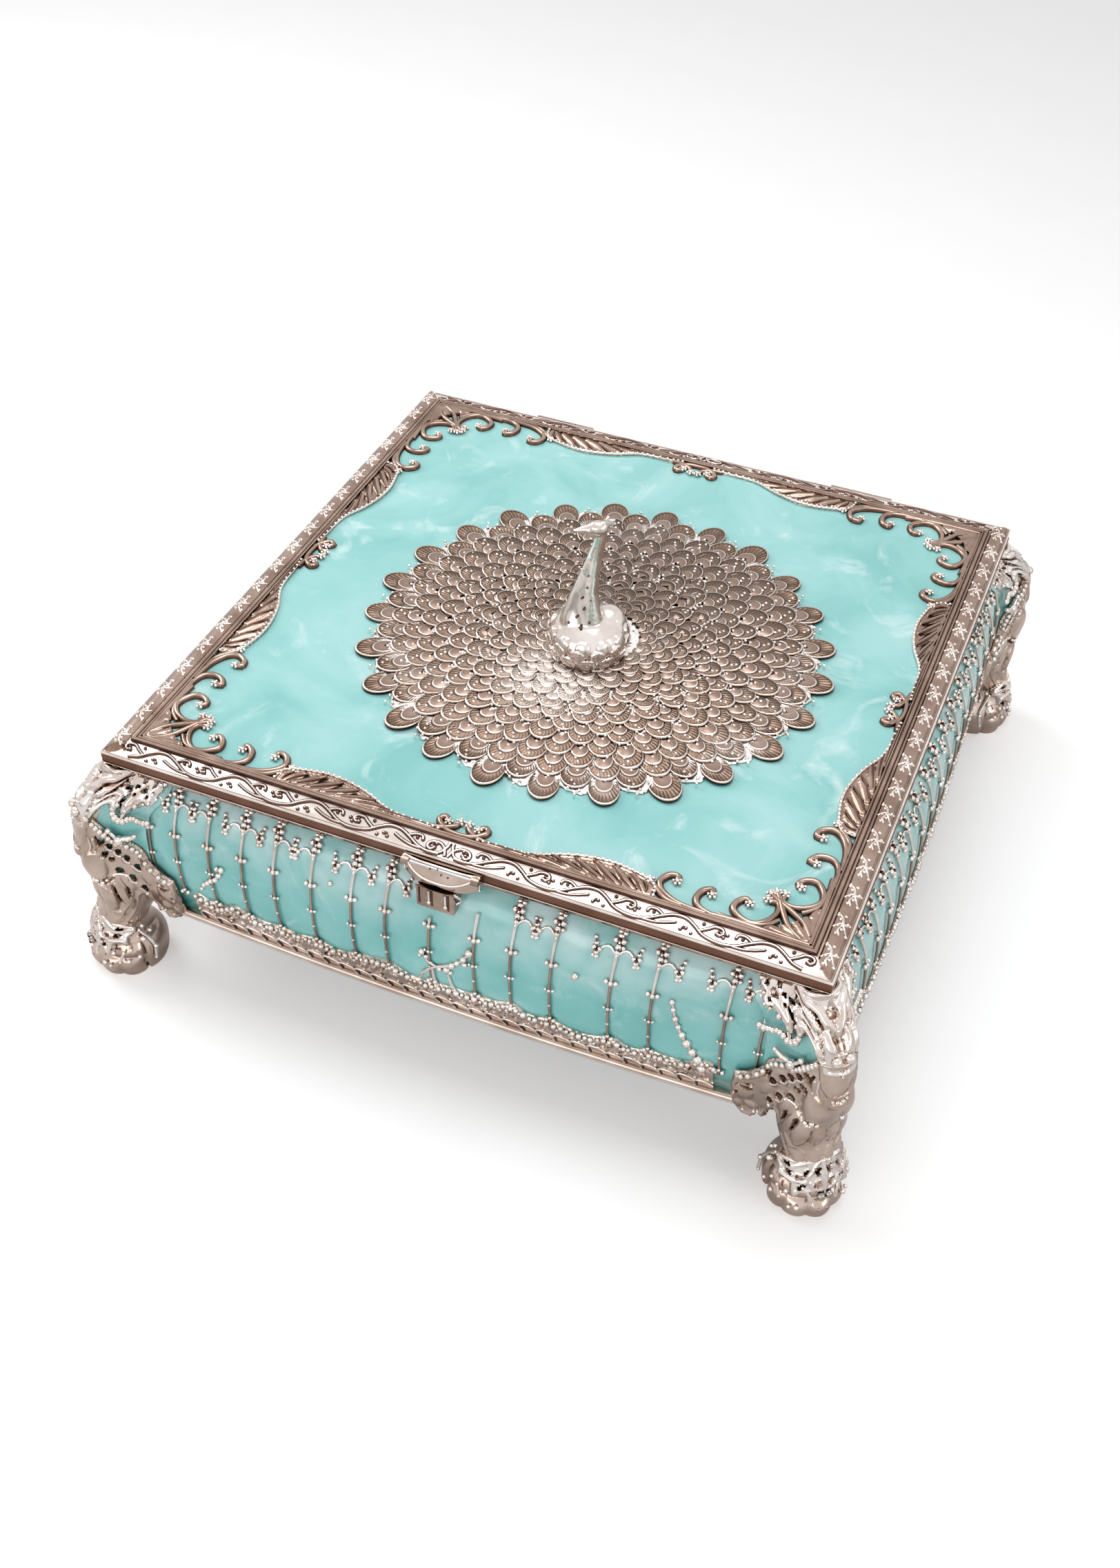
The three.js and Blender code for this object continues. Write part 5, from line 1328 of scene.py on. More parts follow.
# Casting over a surface, the same on both sides of its ridge: plates with a rolled edge, swelling petals,
# raised lines, cut lines and pierced holes
def castField(cast):
    raised, cut = strokeField(cast["lines"], -2.0), strokeField(cast["cuts"], -2.0)

    def field(u, z):
        away = np.abs(u)
        height = np.full(u.shape, -2.0)
        for outline in cast["plates"]:
            d = insideBy(away, z, outline)
            height = np.maximum(height, np.where(
                d > 0, 0.25 + 0.35 * np.exp(-((d - 0.5) / 0.4) ** 2), 0.25 + 2.4 * d))
        for middle, level, halfU, halfZ, turn, rise in cast["petals"]:
            c, s = math.cos(math.radians(turn)), math.sin(math.radians(turn))
            du, dz = away - middle, z - level
            q = ((c * du + s * dz) / halfU) ** 2 + ((c * dz - s * du) / halfZ) ** 2
            height = np.maximum(height, np.where(q < 1, 0.2 + rise * np.sqrt(np.maximum(1 - q, 0)), -2))
        line = raised(away, z)
        height = np.maximum(height, np.where(line > -0.4, 0.45 + line, -2))
        height -= 2.2 * np.clip(cut(away, z), 0, 1)
        for middle, level, halfU, halfZ, lean in cast["holes"]:
            q = np.hypot((away - middle - lean * (z - level)) / halfU, (z - level) / halfZ)
            height = np.where(q < 1.45, np.where(q < 1, -2.0, np.maximum(height, 0.5)), height)
        return height
    return field


upperCast = {
    "plates": [
        [(-1, 74.1), (17.5, 74.1), (19.0, 72.4), (18.6, 70.2), (17.4, 69.2), (18.5, 67.6), (18.5, 65.9),
         (17.0, 66.7), (16.0, 66.4), (16.6, 64.8), (15.2, 64.6), (14.6, 62.0), (13.2, 62.2), (12.4, 64.2),
         (11.8, 65.0), (10.5, 67.0), (8.6, 68.4), (6.4, 69.2), (4.8, 68.2), (4.3, 66.0), (4.6, 62.0),
         (4.4, 57.0), (-1, 57.0)]],
    "petals": [(14.8, 66.4, 1.5, 3.2, -8, 0.5), (2.4, 64.6, 1.5, 3.4, 0, 0.7),
               (12.8, 70.6, 2.0, 1.2, 0, 0.3)],
    "lines": [([(1.0, 66.4), (1.9, 68.2), (2.6, 70.2), (4.4, 72.0), (7.4, 73.2)], (1.1, 1.2, 1.0, 0.6)),
              ([(3.6, 66.2), (4.4, 68.6), (6.2, 70.1), (9.2, 70.9)], (0.7, 0.85, 0.6)),
              ([(4.6, 61.4), (5.4, 63.6), (6.6, 65.2), (8.0, 65.8), (9.4, 65.4), (10.4, 64.2)],
               (0.9, 0.95, 0.8, 0.9)),
              ([(4.6, 65.0), (5.6, 67.0), (7.4, 67.9), (9.6, 67.2), (10.6, 66.0)], (0.5, 0.6, 0.5)),
              ([(4.2, 60.2), (5.0, 61.8), (6.0, 62.8)], (0.5, 0.7, 0.3))],
    "cuts": [([(3.0, 66.8), (3.5, 69.2), (5.4, 71.2)], (0.35, 0.45)),
             ([(0.0, 71.6), (0.4, 70.4), (1.0, 69.6)], (0.3, 0.5)),
             ([(1.7, 67.0), (0.9, 65.2), (0.7, 62.8)], (0.25, 0.75, 0.4)),
             ([(3.9, 66.0), (4.1, 63.6), (4.0, 60.6)], (0.5, 0.4)),
             ([(6.4, 69.4), (9.0, 69.7), (11.4, 68.2)], (0.3, 0.5, 0.3)),
             ([(0, 60.9), (0, 58.4)], (0.3, 0.8))],
    "holes": [(15.2, 69.2, 0.75, 0.7, 0.4), (10.4, 69.0, 0.8, 0.45, 0), (17.2, 70.6, 0.4, 0.35, 0),
              (12.6, 69.4, 0.5, 0.3, 0.6), (14.0, 70.7, 0.6, 0.25, 0.8), (11.4, 66.4, 0.6, 1.1, 0.2),
              (16.6, 68.0, 0.35, 0.35, 0), (0.4, 69.2, 0.75, 0.55, 0), (8.3, 70.3, 0.7, 0.25, 1.2),
              (13.0, 67.6, 0.3, 0.3, 0)],
}

lowerCast = {
    "plates": [
        [(-1, 60.0), (4.3, 60.0), (5.4, 58.6), (8.0, 56.0), (9.9, 53.8), (11.9, 52.2), (14.2, 51.6),
         (15.8, 51.0), (17.4, 50.2), (18.9, 49.0), (19.8, 47.6), (20.4, 45.6), (22.0, 43.4), (24.2, 41.2),
         (27.0, 40.0), (27.4, 36.0), (26.6, 31.0), (27.2, 26.0), (25.0, 22.6), (22.6, 22.0), (20.8, 24.2),
         (19.4, 23.0), (18.4, 26.0), (16.8, 27.6), (15.0, 31.4), (13.6, 30.0), (12.4, 25.0), (10.8, 21.0),
         (9.6, 18.6), (-1, 18.6)]],
    "petals": [(5.0, 42.6, 3.4, 5.8, -8, 1.5), (5.4, 30.2, 2.3, 5.4, 12, 1.3),
               (1.9, 30.4, 1.8, 4.6, 0, 1.2), (9.6, 30.4, 1.8, 6.0, 16, 0.9),
               (12.2, 36.4, 1.6, 3.8, 14, 0.8), (1.6, 21.8, 1.6, 3.0, 4, 0.7),
               (5.6, 21.4, 1.6, 2.9, 12, 0.7), (23.6, 33.6, 2.3, 3.4, 10, 0.7),
               (22.0, 27.6, 1.9, 2.4, -20, 0.8), (25.6, 27.0, 1.6, 2.2, 0, 0.7),
               (0, 45.8, 2.0, 1.5, 0, 1.0), (18.6, 38.6, 1.6, 2.8, 10, 0.4)],
    "lines": [([(4.4, 59.4), (4.3, 56.4), (3.6, 52.6), (2.2, 49.8), (0.0, 48.9)], (0.4, 0.5, 0.45)),
              ([(5.9, 52.6), (6.0, 49.6), (5.4, 48.4)], (0.5, 0.4)),
              ([(12.6, 35.6), (12.0, 31.6), (10.0, 27.6), (8.0, 24.6), (6.8, 20.4)], (0.35, 0.5, 0.35)),
              ([(2.6, 27.6), (2.3, 23.6), (2.4, 19.4)], (0.35, 0.3)),
              ([(8.6, 23.0), (6.2, 24.6), (4.0, 22.6)], (0.3, 0.35))],
    "cuts": [([(3.2, 38.0), (5.6, 36.2), (8.4, 37.6)], (0.4, 0.8, 0.5)),
             ([(7.4, 34.6), (7.8, 29.0), (7.0, 25.4)], (0.5, 0.4)),
             ([(19.0, 46.6), (19.6, 43.6)], (0.7, 0.5)), ([(3.6, 33.6), (3.4, 28.4)], (0.3, 0.3)),
             ([(0, 57.6), (0, 55.8)], (0.8, 0.2)), ([(22.4, 38.0), (25.8, 36.4)], (0.5, 0.5)),
             ([(11.2, 34.4), (11.0, 30.0)], (0.3, 0.4)), ([(6.6, 53.6), (7.2, 50.4)], (0.35, 0.3))],
    "holes": [(17.2, 43.2, 1.15, 1.5, 0.3), (14.4, 46.3, 1.0, 1.45, 0.3), (12.3, 48.5, 0.9, 1.3, 0.3),
              (10.1, 50.4, 0.9, 1.4, 0.3), (7.9, 51.9, 1.0, 1.5, 0.4), (16.4, 33.9, 1.1, 1.7, 0.3),
              (14.2, 38.2, 1.1, 1.6, 0.3), (11.4, 41.0, 1.2, 1.5, 0.2), (10.3, 45.5, 0.7, 0.8, 0.3),
              (8.4, 47.2, 0.8, 1.3, 0.5), (23.4, 36.6, 1.1, 0.7, 0.9), (26.0, 33.0, 0.6, 1.1, 0)],
}

pawPlate = {
    "plates": [[(-1, 20.4), (6.0, 20.0), (10.5, 19.0), (15.0, 17.6), (16.2, 15.6), (13.4, 14.6),
                (12.6, 12.2), (10.4, 13.2), (8.2, 12.4), (6.9, 8.2), (5.2, 10.4), (2.6, 11.0), (-1, 10.6)]],
    "petals": [(3.4, 18.6, 1.2, 1.3, 0, 0.4), (10.2, 16.6, 1.6, 1.0, 0, 0.3)],
    "lines": [([(0, 20.0), (0.4, 16.0), (0, 11.4)], (0.5, 0.4)),
              ([(1.5, 19.6), (4.4, 15.8), (6.6, 9.4)], (0.45, 0.4)),
              ([(4.6, 19.6), (9.2, 17.4), (15.2, 16.4)], (0.4, 0.45)),
              ([(2.6, 11.6), (4.2, 14.2), (8.0, 13.6), (12.4, 13.6)], (0.35, 0.35))],
    "cuts": [([(0.9, 17.8), (2.0, 15.8)], (0.3, 0.3)), ([(11.4, 15.2), (9.0, 15.8)], (0.3, 0.2))],
    "holes": [(2.1, 17.2, 0.65, 1.0, 0.3), (1.9, 13.4, 0.85, 1.1, -0.2), (5.0, 16.7, 0.5, 0.9, -0.5),
              (6.9, 14.9, 1.0, 0.7, 0.5), (10.6, 17.4, 1.0, 0.35, -1.2), (5.6, 12.4, 0.5, 1.0, -0.3),
              (9.9, 14.9, 0.7, 0.4, 0.4)],
}

# Beads on the leg, as (round from the ridge, height, radius)
legBeads = [
    (1.42, 60.9, 1.45), (0.62, 47.3, 0.7), (1.5, 47.7, 0.55), (5.4, 36.1, 0.75), (4.2, 36.8, 0.8),
    (3.1, 36.3, 0.7), (6.4, 36.9, 0.55), (4.4, 35.4, 0.5), (16.2, 64.9, 0.85), (17.6, 66.2, 0.5),
    (11.0, 64.6, 0.8), (10.4, 63.6, 0.9), (18.7, 71.0, 0.8), (17.9, 68.9, 0.6), (18.5, 66.9, 0.6),
    (22.0, 61.6, 0.9), (21.0, 61.2, 1.0), (20.0, 61.1, 0.75), (18.8, 61.1, 0.9), (17.7, 61.4, 0.8),
    (16.6, 61.2, 0.9), (15.6, 60.8, 1.0), (14.5, 60.1, 1.1), (13.2, 60.2, 1.1), (12.0, 61.0, 1.2),
    (11.0, 62.2, 1.0), (18.3, 55.4, 0.8), (16.0, 54.1, 0.9), (13.3, 53.2, 1.5), (10.6, 56.3, 0.9),
    (9.7, 55.2, 0.7), (24.0, 41.9, 0.9), (22.0, 43.9, 0.9), (20.6, 46.0, 0.8), (19.4, 48.6, 0.8),
    (18.4, 49.7, 0.8), (17.0, 50.5, 0.9), (15.4, 51.2, 0.9), (13.8, 51.8, 0.7), (12.4, 51.9, 1.0),
    (11.4, 52.7, 0.9), (10.4, 53.6, 1.0), (9.3, 54.7, 1.0), (8.2, 55.9, 1.0), (7.1, 57.1, 1.0),
    (6.0, 58.3, 0.9), (25.6, 40.9, 0.9), (16.4, 31.6, 0.7), (12.6, 38.9, 0.6), (9.0, 38.9, 0.6),
    (21.4, 24.6, 0.6), (20.4, 24.9, 0.5), (5.9, 48.2, 0.5), (24.4, 24.2, 0.5),
]

# Bright lines on the leg: drops, the sprig over the wall and the scallops under the pierced leaves
legWires = [
    ([(18.3, 55.4), (17.3, 54.7), (16.1, 54.2), (14.8, 53.9), (13.3, 53.3)], (0.75, 0.85, 0.8)),
    ([(13.3, 53.3), (11.8, 54.6), (10.6, 56.4)], (0.7, 0.5)),
    ([(22.0, 61.6), (20.4, 61.2), (18.4, 61.2), (16.4, 61.1), (14.6, 60.2), (12.6, 60.5), (11.0, 62.2)],
     (0.7, 0.75, 0.7)), ([(18.0, 41.6), (16.6, 41.9), (15.6, 44.0)], (0.3, 0.45)),
    ([(15.4, 44.7), (14.0, 44.9), (13.4, 46.8)], (0.35, 0.5)),
    ([(13.2, 46.8), (11.6, 47.2), (11.2, 49.0)], (0.35, 0.5)),
    ([(11.0, 48.8), (9.4, 49.3), (9.0, 50.8)], (0.3, 0.45)),
    ([(17.4, 32.0), (16.4, 31.6), (15.2, 34.2)], (0.3, 0.5)),
    ([(15.0, 36.2), (13.4, 36.5), (12.8, 39.0), (10.6, 39.4), (9.0, 39.0)], (0.35, 0.5, 0.4)),
    ([(4.6, 53.8), (4.9, 50.2), (4.3, 48.4)], (0.3, 0.35)), ([(14.0, 62.6), (13.8, 60.4)], (0.6, 0.6)),
    ([(10.6, 64.4), (10.9, 62.4)], (0.7, 0.6)),
]

pawLines = [[(0, 8.6), (0, 12.0)], [(-17.0, 15.4), (-18.6, 10.0), (-18.0, 5.0)],
            [(17.0, 15.4), (18.6, 10.0), (18.0, 5.0)], [(9.6, 6.4), (10.8, 9.8)],
            [(-9.6, 6.4), (-10.8, 9.8)], [(-3.0, 6.4), (-3.4, 9.6), (-5.2, 12.0)],
            [(3.0, 6.4), (3.4, 9.6), (5.2, 12.0)]]
pawBeads = [(0.9, 3.6, 0.55), (-0.9, 3.6, 0.55), (-0.9, 9.2, 1.25), (0.9, 9.2, 1.25), (5.6, 4.6, 0.8),
            (7.2, 4.2, 0.6), (11.6, 6.8, 0.8), (12.8, 10.6, 0.7), (14.2, 8.0, 0.7), (17.0, 12.6, 1.0),
            (18.6, 9.0, 0.8), (8.4, 9.6, 0.7), (20.0, 13.6, 0.8), (18.0, 16.4, 0.7)]


def cornerLegs():
    reach, sink = legLook["reach"] - 2.4, legLook["sink"]
    over = lambda u, z, h: legPlace(u, z, h + sink)
    rose = [legShaft(), reliefSheet("lower", castField(lowerCast), over, (-reach, reach), (18.6, 60.2),
                                    0.38, paleMetal, sink)]
    for outer, inner, low, high in (legLook["post"], legLook["lug"]):
        square = [(-outer, -outer), (-inner, -outer), (-inner, -inner), (-outer, -inner)]
        bar = meshObject("bar", [(x, y, z) for z in (low, high) for x, y in square], ringFaces(2, 4),
                         roseMetal, 30)
        faceOutwards(bar)
        rose.append(bar)
    body = joinPieces("legBody", rose)
    flank = reliefSheet("flank", lambda u, z: np.full(u.shape, -0.6), legPlace, (-21, 21), (26.4, 71.6),
                        1.2, wallEnamel, 0.7)
    bright = [reliefSheet("upper", castField(upperCast), over, (-19.6, 19.6), (57.0, 74.2), 0.34,
                          brightMetal, sink),
              reliefSheet("pawPlate", castField(pawPlate), lambda u, z, h: pawPlace(u, z, h + 0.9),
                          (-17, 17), (7.4, 20.6), 0.36, brightMetal, 0.8)]
    dots = [(legPoint(side * u, z, 1.3), r) for u, z, r in legBeads for side in (1, -1)]
    dots += [(pawPoint(side * u, z, 1.2), r) for u, z, r in pawBeads for side in (1, -1)]
    lines = [([legPoint(side * u, z, 1.2) for u, z in path], radii) for path, radii in legWires
             for side in (1, -1)]
    lines += [([pawPoint(u, z, 1.0) for u, z in path], (0.5, 0.6, 0.5), 0.6, 0.6) for path in pawLines]
    bright += [wires("legLines", lines, brightMetal, 8, 0.7),
               beads("legBeads", [p for p, _ in dots], [r for _, r in dots], brightMetal, 10)]
    trim = joinPieces("legTrim", bright)
    for quarters, corner in enumerate(("front_left", "front_right", "back_right", "back_left")):
        finishPiece(turnedCopy(body, f"{corner}_acanthus_leg", quarters), "base",
                    [f"{corner}_leg"])
        finishPiece(turnedCopy(flank, f"{corner}_leg_enamel", quarters), "base")
        finishPiece(turnedCopy(trim, f"{corner}_leg_chasing", quarters), "base")
    for obj in (body, flank, trim):
        bpy.data.objects.remove(obj)


cornerLegs()
print("legs made")


# Clasp: a hooded flap over a keeper with two ribs

claspLook = {
    "half": 10.7, "back": 102.45, "deep": 3.9, "top": 78.05, "drop": 2.9, "bottom": 73.05, "columns": 41,
    "dots": [(-2.6, 0.36), (-0.6, 0.3), (0.7, 0.5), (2.6, 0.55)],
    "chamfer": 0.75, "keeperHalf": 5.2, "keeperLow": 66.0, "keeperTop": 72.9, "keeperBack": 99.6,
    "keeperFront": 107.0,
    "ribs": (-1.7, 2.9), "grooves": (-0.9, 3.7, -4.4),
}


# A point on the hood: along it, and down its top from the back edge (0) to its curved lip (1)
def hoodPoint(x, share, lift=0.0):
    look = claspLook
    bow = 1 - abs(x / look["half"]) ** 2.6
    return (x, -(look["back"] + look["deep"] * bow * share + lift),
            look["top"] - look["drop"] * bow * share + lift)


def claspPieces():
    look = claspLook
    half, count = look["half"], look["columns"]
    vertices = []
    for x in np.linspace(-half, half, count):
        x = float(x)
        lip = hoodPoint(x, 1.0)
        low = look["bottom"] + 1.2 * max(0, 1 - abs(x) / 6.5)
        # the back edge is cut away so that it clears the backplate as the hood swings up
        cut = look["top"] - look["chamfer"] * (1 - abs(x / half) ** 2.6)
        ring = [(x, -look["back"], cut), hoodPoint(x, 0.14), hoodPoint(x, 0.5, 0.05), lip,
                (x, lip[1] + 0.1, low), (x, lip[1] + 0.7, low), (x, -look["back"], low)]
        vertices += ring
    hood = meshObject("hood", vertices, ringFaces(count, 7), paleMetal, 30)
    faceOutwards(hood)
    xs = [float(x) for x in np.linspace(-half + 0.3, half - 0.3, 25)]
    lines = [([hoodPoint(x, 1.0, 0.02) for x in xs], 0.24), ([hoodPoint(x, 0.16, 0.0) for x in xs], 0.22),
             ([(x, -look["back"] - 0.5, look["top"] - 0.35) for x in (-half + 1.2, half - 1.2)], 0.2)]
    for end in (-1, 1):
        corner = hoodPoint(end * (half - 0.3), 1.0)
        lines.append(([corner, (corner[0], corner[1] + 0.1, look["bottom"] + 0.3)], 0.24, 0.42, 0.42))
    trim = wires("hoodLines", lines, brightMetal, 8, 0.6)
    dots = beads("hoodDots", [hoodPoint(x, share, 0.02) for x, share in look["dots"]], 0.3, darkMetal, 8)
    finishPiece(joinPieces("clasp_hood", [hood, trim, dots]), "clasp", ["clasp_flap"])

    wide, low, high, front = look["keeperHalf"], look["keeperLow"], look["keeperTop"], -look["keeperFront"]
    face = [(-wide, low), (wide, low), (wide, high), (-wide, high)]
    corners = [(x, y, z) for y in (-look["keeperBack"], front) for x, z in face]
    block = meshObject("block", corners, ringFaces(2, 4), roseMetal, 30)
    faceOutwards(block)
    ribs = [([(x, front, high - 0.4), (x, front, low + 2.2)], 0.42, 0, 0.7) for x in look["ribs"]]
    # dark wires in the grooves: painted shade
    grooves = [([(x, front + 0.05, high - 0.4), (x, front + 0.05, low + 1.2)], 0.3)
               for x in look["grooves"]]
    curls = [([(side * 5.0, front + 1.0, 72.4), (side * 6.0, front + 1.6, 71.4),
               (side * 6.2, front + 2.2, 69.8), (side * 5.3, front + 1.6, 69.0)],
              (0.5, 0.4, 0.35), 0.6, 0.5) for side in (-1, 1)]
    keeper = joinPieces("clasp_keeper_block", [
        block, wires("ribs", ribs + curls, brightMetal, 8, 0.5),
        wires("grooves", grooves, darkMetal, 7, 0.6)])
    finishPiece(keeper, "base", ["clasp_keeper"])


claspPieces()
print("clasp made")


# Lid scrolls: cast rococo work lying on the enamel, drawn once as [along the side, inward] from a corner

scrollWork = {
    "top": 80.0, "round": 0.74, "tipBall": 0.66, "corner": 93.5,
    "curls": [
        [(36.8, 8.0), (37.1, 9.5), (39.4, 9.0), (40.8, 6.2), (39.4, 3.5), (36.1, 1.5), (32.2, 0.6),
         (27.0, 0.35)],
        [(27.4, 7.1), (27.8, 8.6), (30.0, 7.1), (30.6, 4.0), (28.9, 1.6), (25.5, 0.6), (21.0, 0.35)],
        [(17.9, 8.1), (19.3, 8.9), (20.9, 7.3), (21.2, 4.6), (18.5, 2.3), (15.2, 1.8), (12.3, 4.0),
         (10.8, 7.7), (11.6, 10.6), (13.8, 10.6)], [(42.9, 5.2), (41.3, 4.0), (37.6, 1.0), (33.0, 0.4)],
        [(12.6, 13.6), (11.3, 11.6), (9.2, 7.6), (6.6, 3.8), (3.0, 1.2)],
        [(26.0, 0.5), (20.0, 0.8), (14.0, 0.6), (7.0, 0.5), (0.6, 0.5)],
        [(24.0, 1.4), (19.0, 1.1), (13.0, 2.2), (9.8, 5.4)],
    ],
    "tips": [(36.8, 7.6), (27.4, 6.7), (17.9, 7.7), (14.2, 10.8), (43.2, 5.6), (12.9, 14.1)],
    "leafEdge": [(40.6, 0.6), (41.4, 3.8), (44.0, 5.6), (47.5, 6.5), (51.5, 7.2), (55.5, 7.3), (60.5, 6.6),
                 (66.0, 5.0), (70.0, 3.1), (73.5, 1.7), (78.0, 1.1), (84.0, 0.9), (88.0, 0.6)],
    "leafSpines": [
        [(46.0, 1.0), (49.5, 3.4), (52.5, 6.2)], [(50.0, 0.9), (54.0, 3.2), (57.5, 5.9)],
        [(54.5, 0.9), (59.0, 2.8), (62.5, 5.0)], [(59.0, 0.9), (64.0, 2.3), (68.0, 3.4)],
        [(64.0, 0.8), (69.5, 1.5), (74.0, 1.4)], [(43.0, 0.8), (44.8, 3.0), (47.5, 5.2)],
        [(41.8, 0.7), (42.0, 2.6), (43.6, 4.4)], [(70.0, 0.6), (80.0, 0.8), (87.0, 0.6)],
    ],
    "middleCurls": [[(89.2, 4.4), (87.9, 5.6), (86.8, 4.2), (88.2, 2.4), (90.4, 1.1), (93.5, 0.8)],
                    [(85.0, 1.0), (88.5, 1.5), (91.5, 3.2), (92.2, 4.6)]],
    "middleTips": [(89.4, 4.0), (92.3, 5.1)],
    "cornerSpines": [
        [(1.6, 1.6), (5.5, 5.5), (9.0, 9.0)], [(2.4, 1.2), (7.5, 3.6), (12.0, 6.6)],
        [(3.5, 0.9), (9.5, 1.9), (15.0, 2.2)], [(7.0, 0.7), (14.0, 0.9), (20.0, 1.1)],
        [(8.4, 6.0), (11.2, 9.6)],
    ],
}


def lidPlace(x, y, h):
    return np.stack(np.broadcast_arrays(np.asarray(x, float), np.asarray(y, float), np.asarray(h, float)),
                    -1)


# From [along, inward] to the lid's x and y in its front left corner; mirrored is across the diagonal
def onLid(points, mirrored=False):
    corner = scrollWork["corner"]
    places = [(-corner + a, -corner + b) for a, b in points]
    return [(y, x) for x, y in places] if mirrored else places


def tipCluster(x, y, top, size):
    # one berry on top and five round it
    dots, reach = [(x, y, top + 0.35, size)], 1.4 * size
    for k in range(5):
        turn = tau * k / 5 + 0.4
        dots.append((x + reach * math.cos(turn), y + reach * math.sin(turn), top + 0.1, size * 0.78))
    return dots


def scrollPieces():
    top, thick = scrollWork["top"], scrollWork["round"]

    def curlSet(curls, tips, ways, name):
        lines, shade, dots = [], [], []
        for mirrored in ways:
            for curl in curls:
                radii = (thick * 0.95, thick * 1.15, thick, thick * 0.8) if len(curl) > 4 else (thick * 0.8,
                        thick, thick * 0.7)
                lines.append(([(x, y, top) for x, y in onLid(curl, mirrored)], radii))
                shade.append(([(x, y, top - 0.42) for x, y in onLid(curl, mirrored)],
                              [r + 0.26 for r in radii]))
            for x, y in onLid(tips, mirrored):
                dots += tipCluster(x, y, top, scrollWork["tipBall"])
        return joinPieces(name, [wires(name + "Lines", lines, roseMetal, 8, 0.6),
                                 wires(name + "Shade", shade, darkMetal, 8, 0.7),
                                 beads(name + "Tips", [d[:3] for d in dots], [d[3] for d in dots],
                                       brightMetal, 8)])

    def leafSheet(edge, spines, ways, spanA, spanB, name):
        strokes = [(onLid(spine, mirrored), (0.9, 1.15, 0.6)) for mirrored in ways for spine in spines]
        ribs = strokeField(strokes, 0.0, 0.62)

        def field(x, y):
            a, b = x + scrollWork["corner"], y + scrollWork["corner"]
            inside = edge(a, b)
            raised = 0.35 + ribs(x, y) + 0.3 * np.exp(-((inside - 0.45) / 0.3) ** 2)
            dotted = 0.25 * np.exp(-((inside - 1.35) / 0.28) ** 2) * (np.cos(tau * (a + b) / 1.3) > 0)
            return np.where(inside > 0, raised + dotted, -1.0)
        lift = casket["enamelTop"] - 0.1
        place = lambda x, y, h: lidPlace(x, y, lift + np.clip(np.asarray(h, float), -0.5, 1.05))
        return reliefSheet(name, field, place, spanA, spanB, 0.3, roseMetal, 0.9)

    corner = scrollWork["corner"]
    edgeA, edgeB = np.array(catmull(scrollWork["leafEdge"], 6)).T

    def leafInside(a, b):
        mirroredA = np.where(a > corner, 2 * corner - a, a)
        return np.where((mirroredA > edgeA[0]) & (mirroredA < edgeA[-1]),
                        np.interp(mirroredA, edgeA, edgeB) - b, -1.0)

    def cornerInside(a, b):
        near, far = np.minimum(a, b), np.maximum(a, b)
        return np.minimum(9.6 - 0.62 * far + 0.35 * np.sin(far * 1.3) - near, 21.0 - far)

    leaf = leafSheet(leafInside, scrollWork["leafSpines"]
                     + [[(2 * corner - a, b) for a, b in spine] for spine in scrollWork["leafSpines"]],
                     (False,), (-54, 54), (-corner + 0.2, -corner + 8.0), "sideLeaf")
    # a beaded bright edge, and painted shade between the ribs of the leaves
    rim = onLid(np.array(catmull(scrollWork["leafEdge"], 5)).tolist())
    edges = [([(way * x, y, top + 0.1) for x, y in rim], (0.3, 0.42, 0.42, 0.3)) for way in (1, -1)]
    edgeBeads = [(way * x, y, top + 0.35) for x, y in rim[::2] for way in (1, -1)]
    between = [([(way * (x + 0.95), y, top + 0.42) for x, y in onLid(spine)], (0.16, 0.34, 0.18))
               for spine in scrollWork["leafSpines"] for way in (1, -1)]
    middle = curlSet(scrollWork["middleCurls"], scrollWork["middleTips"], (False,), "middle")
    otherMiddle = curlSet([[(2 * corner - a, b) for a, b in curl] for curl in scrollWork["middleCurls"]],
                          [(2 * corner - a, b) for a, b in scrollWork["middleTips"]], (False,),
                          "otherMiddle")
    side = joinPieces("sideScroll", [leaf, middle, otherMiddle,
            wires("leafEdges", edges, brightMetal, 8, 0.6),
                                     beads("leafBeads", edgeBeads, 0.5, brightMetal, 7),
                                     wires("leafShade", between, darkMetal, 7, 0.7)])
    fan = leafSheet(cornerInside, scrollWork["cornerSpines"], (False, True),
                    (-corner + 0.2, -corner + 21.5), (-corner + 0.2, -corner + 21.5), "cornerFan")
    curls = curlSet(scrollWork["curls"], scrollWork["tips"], (False, True), "cornerCurls")
    cornerPiece = joinPieces("cornerScroll", [fan, curls])
    for quarters, name in enumerate(("front_left", "front_right", "back_right", "back_left")):
        finishPiece(turnedCopy(cornerPiece, f"{name}_rococo_corner", quarters), "lid",
                    [f"{name}_scroll"])
    for name, quarters in sideTurns.items():
        finishPiece(turnedCopy(side, f"{name}_acanthus_border", quarters), "lid",
                    [f"{name}_scroll"])
    bpy.data.objects.remove(side)
    bpy.data.objects.remove(cornerPiece)


scrollPieces()
print("scrolls made")


# Bird finial: chased round body, flame of a neck, small crested head and a round tail

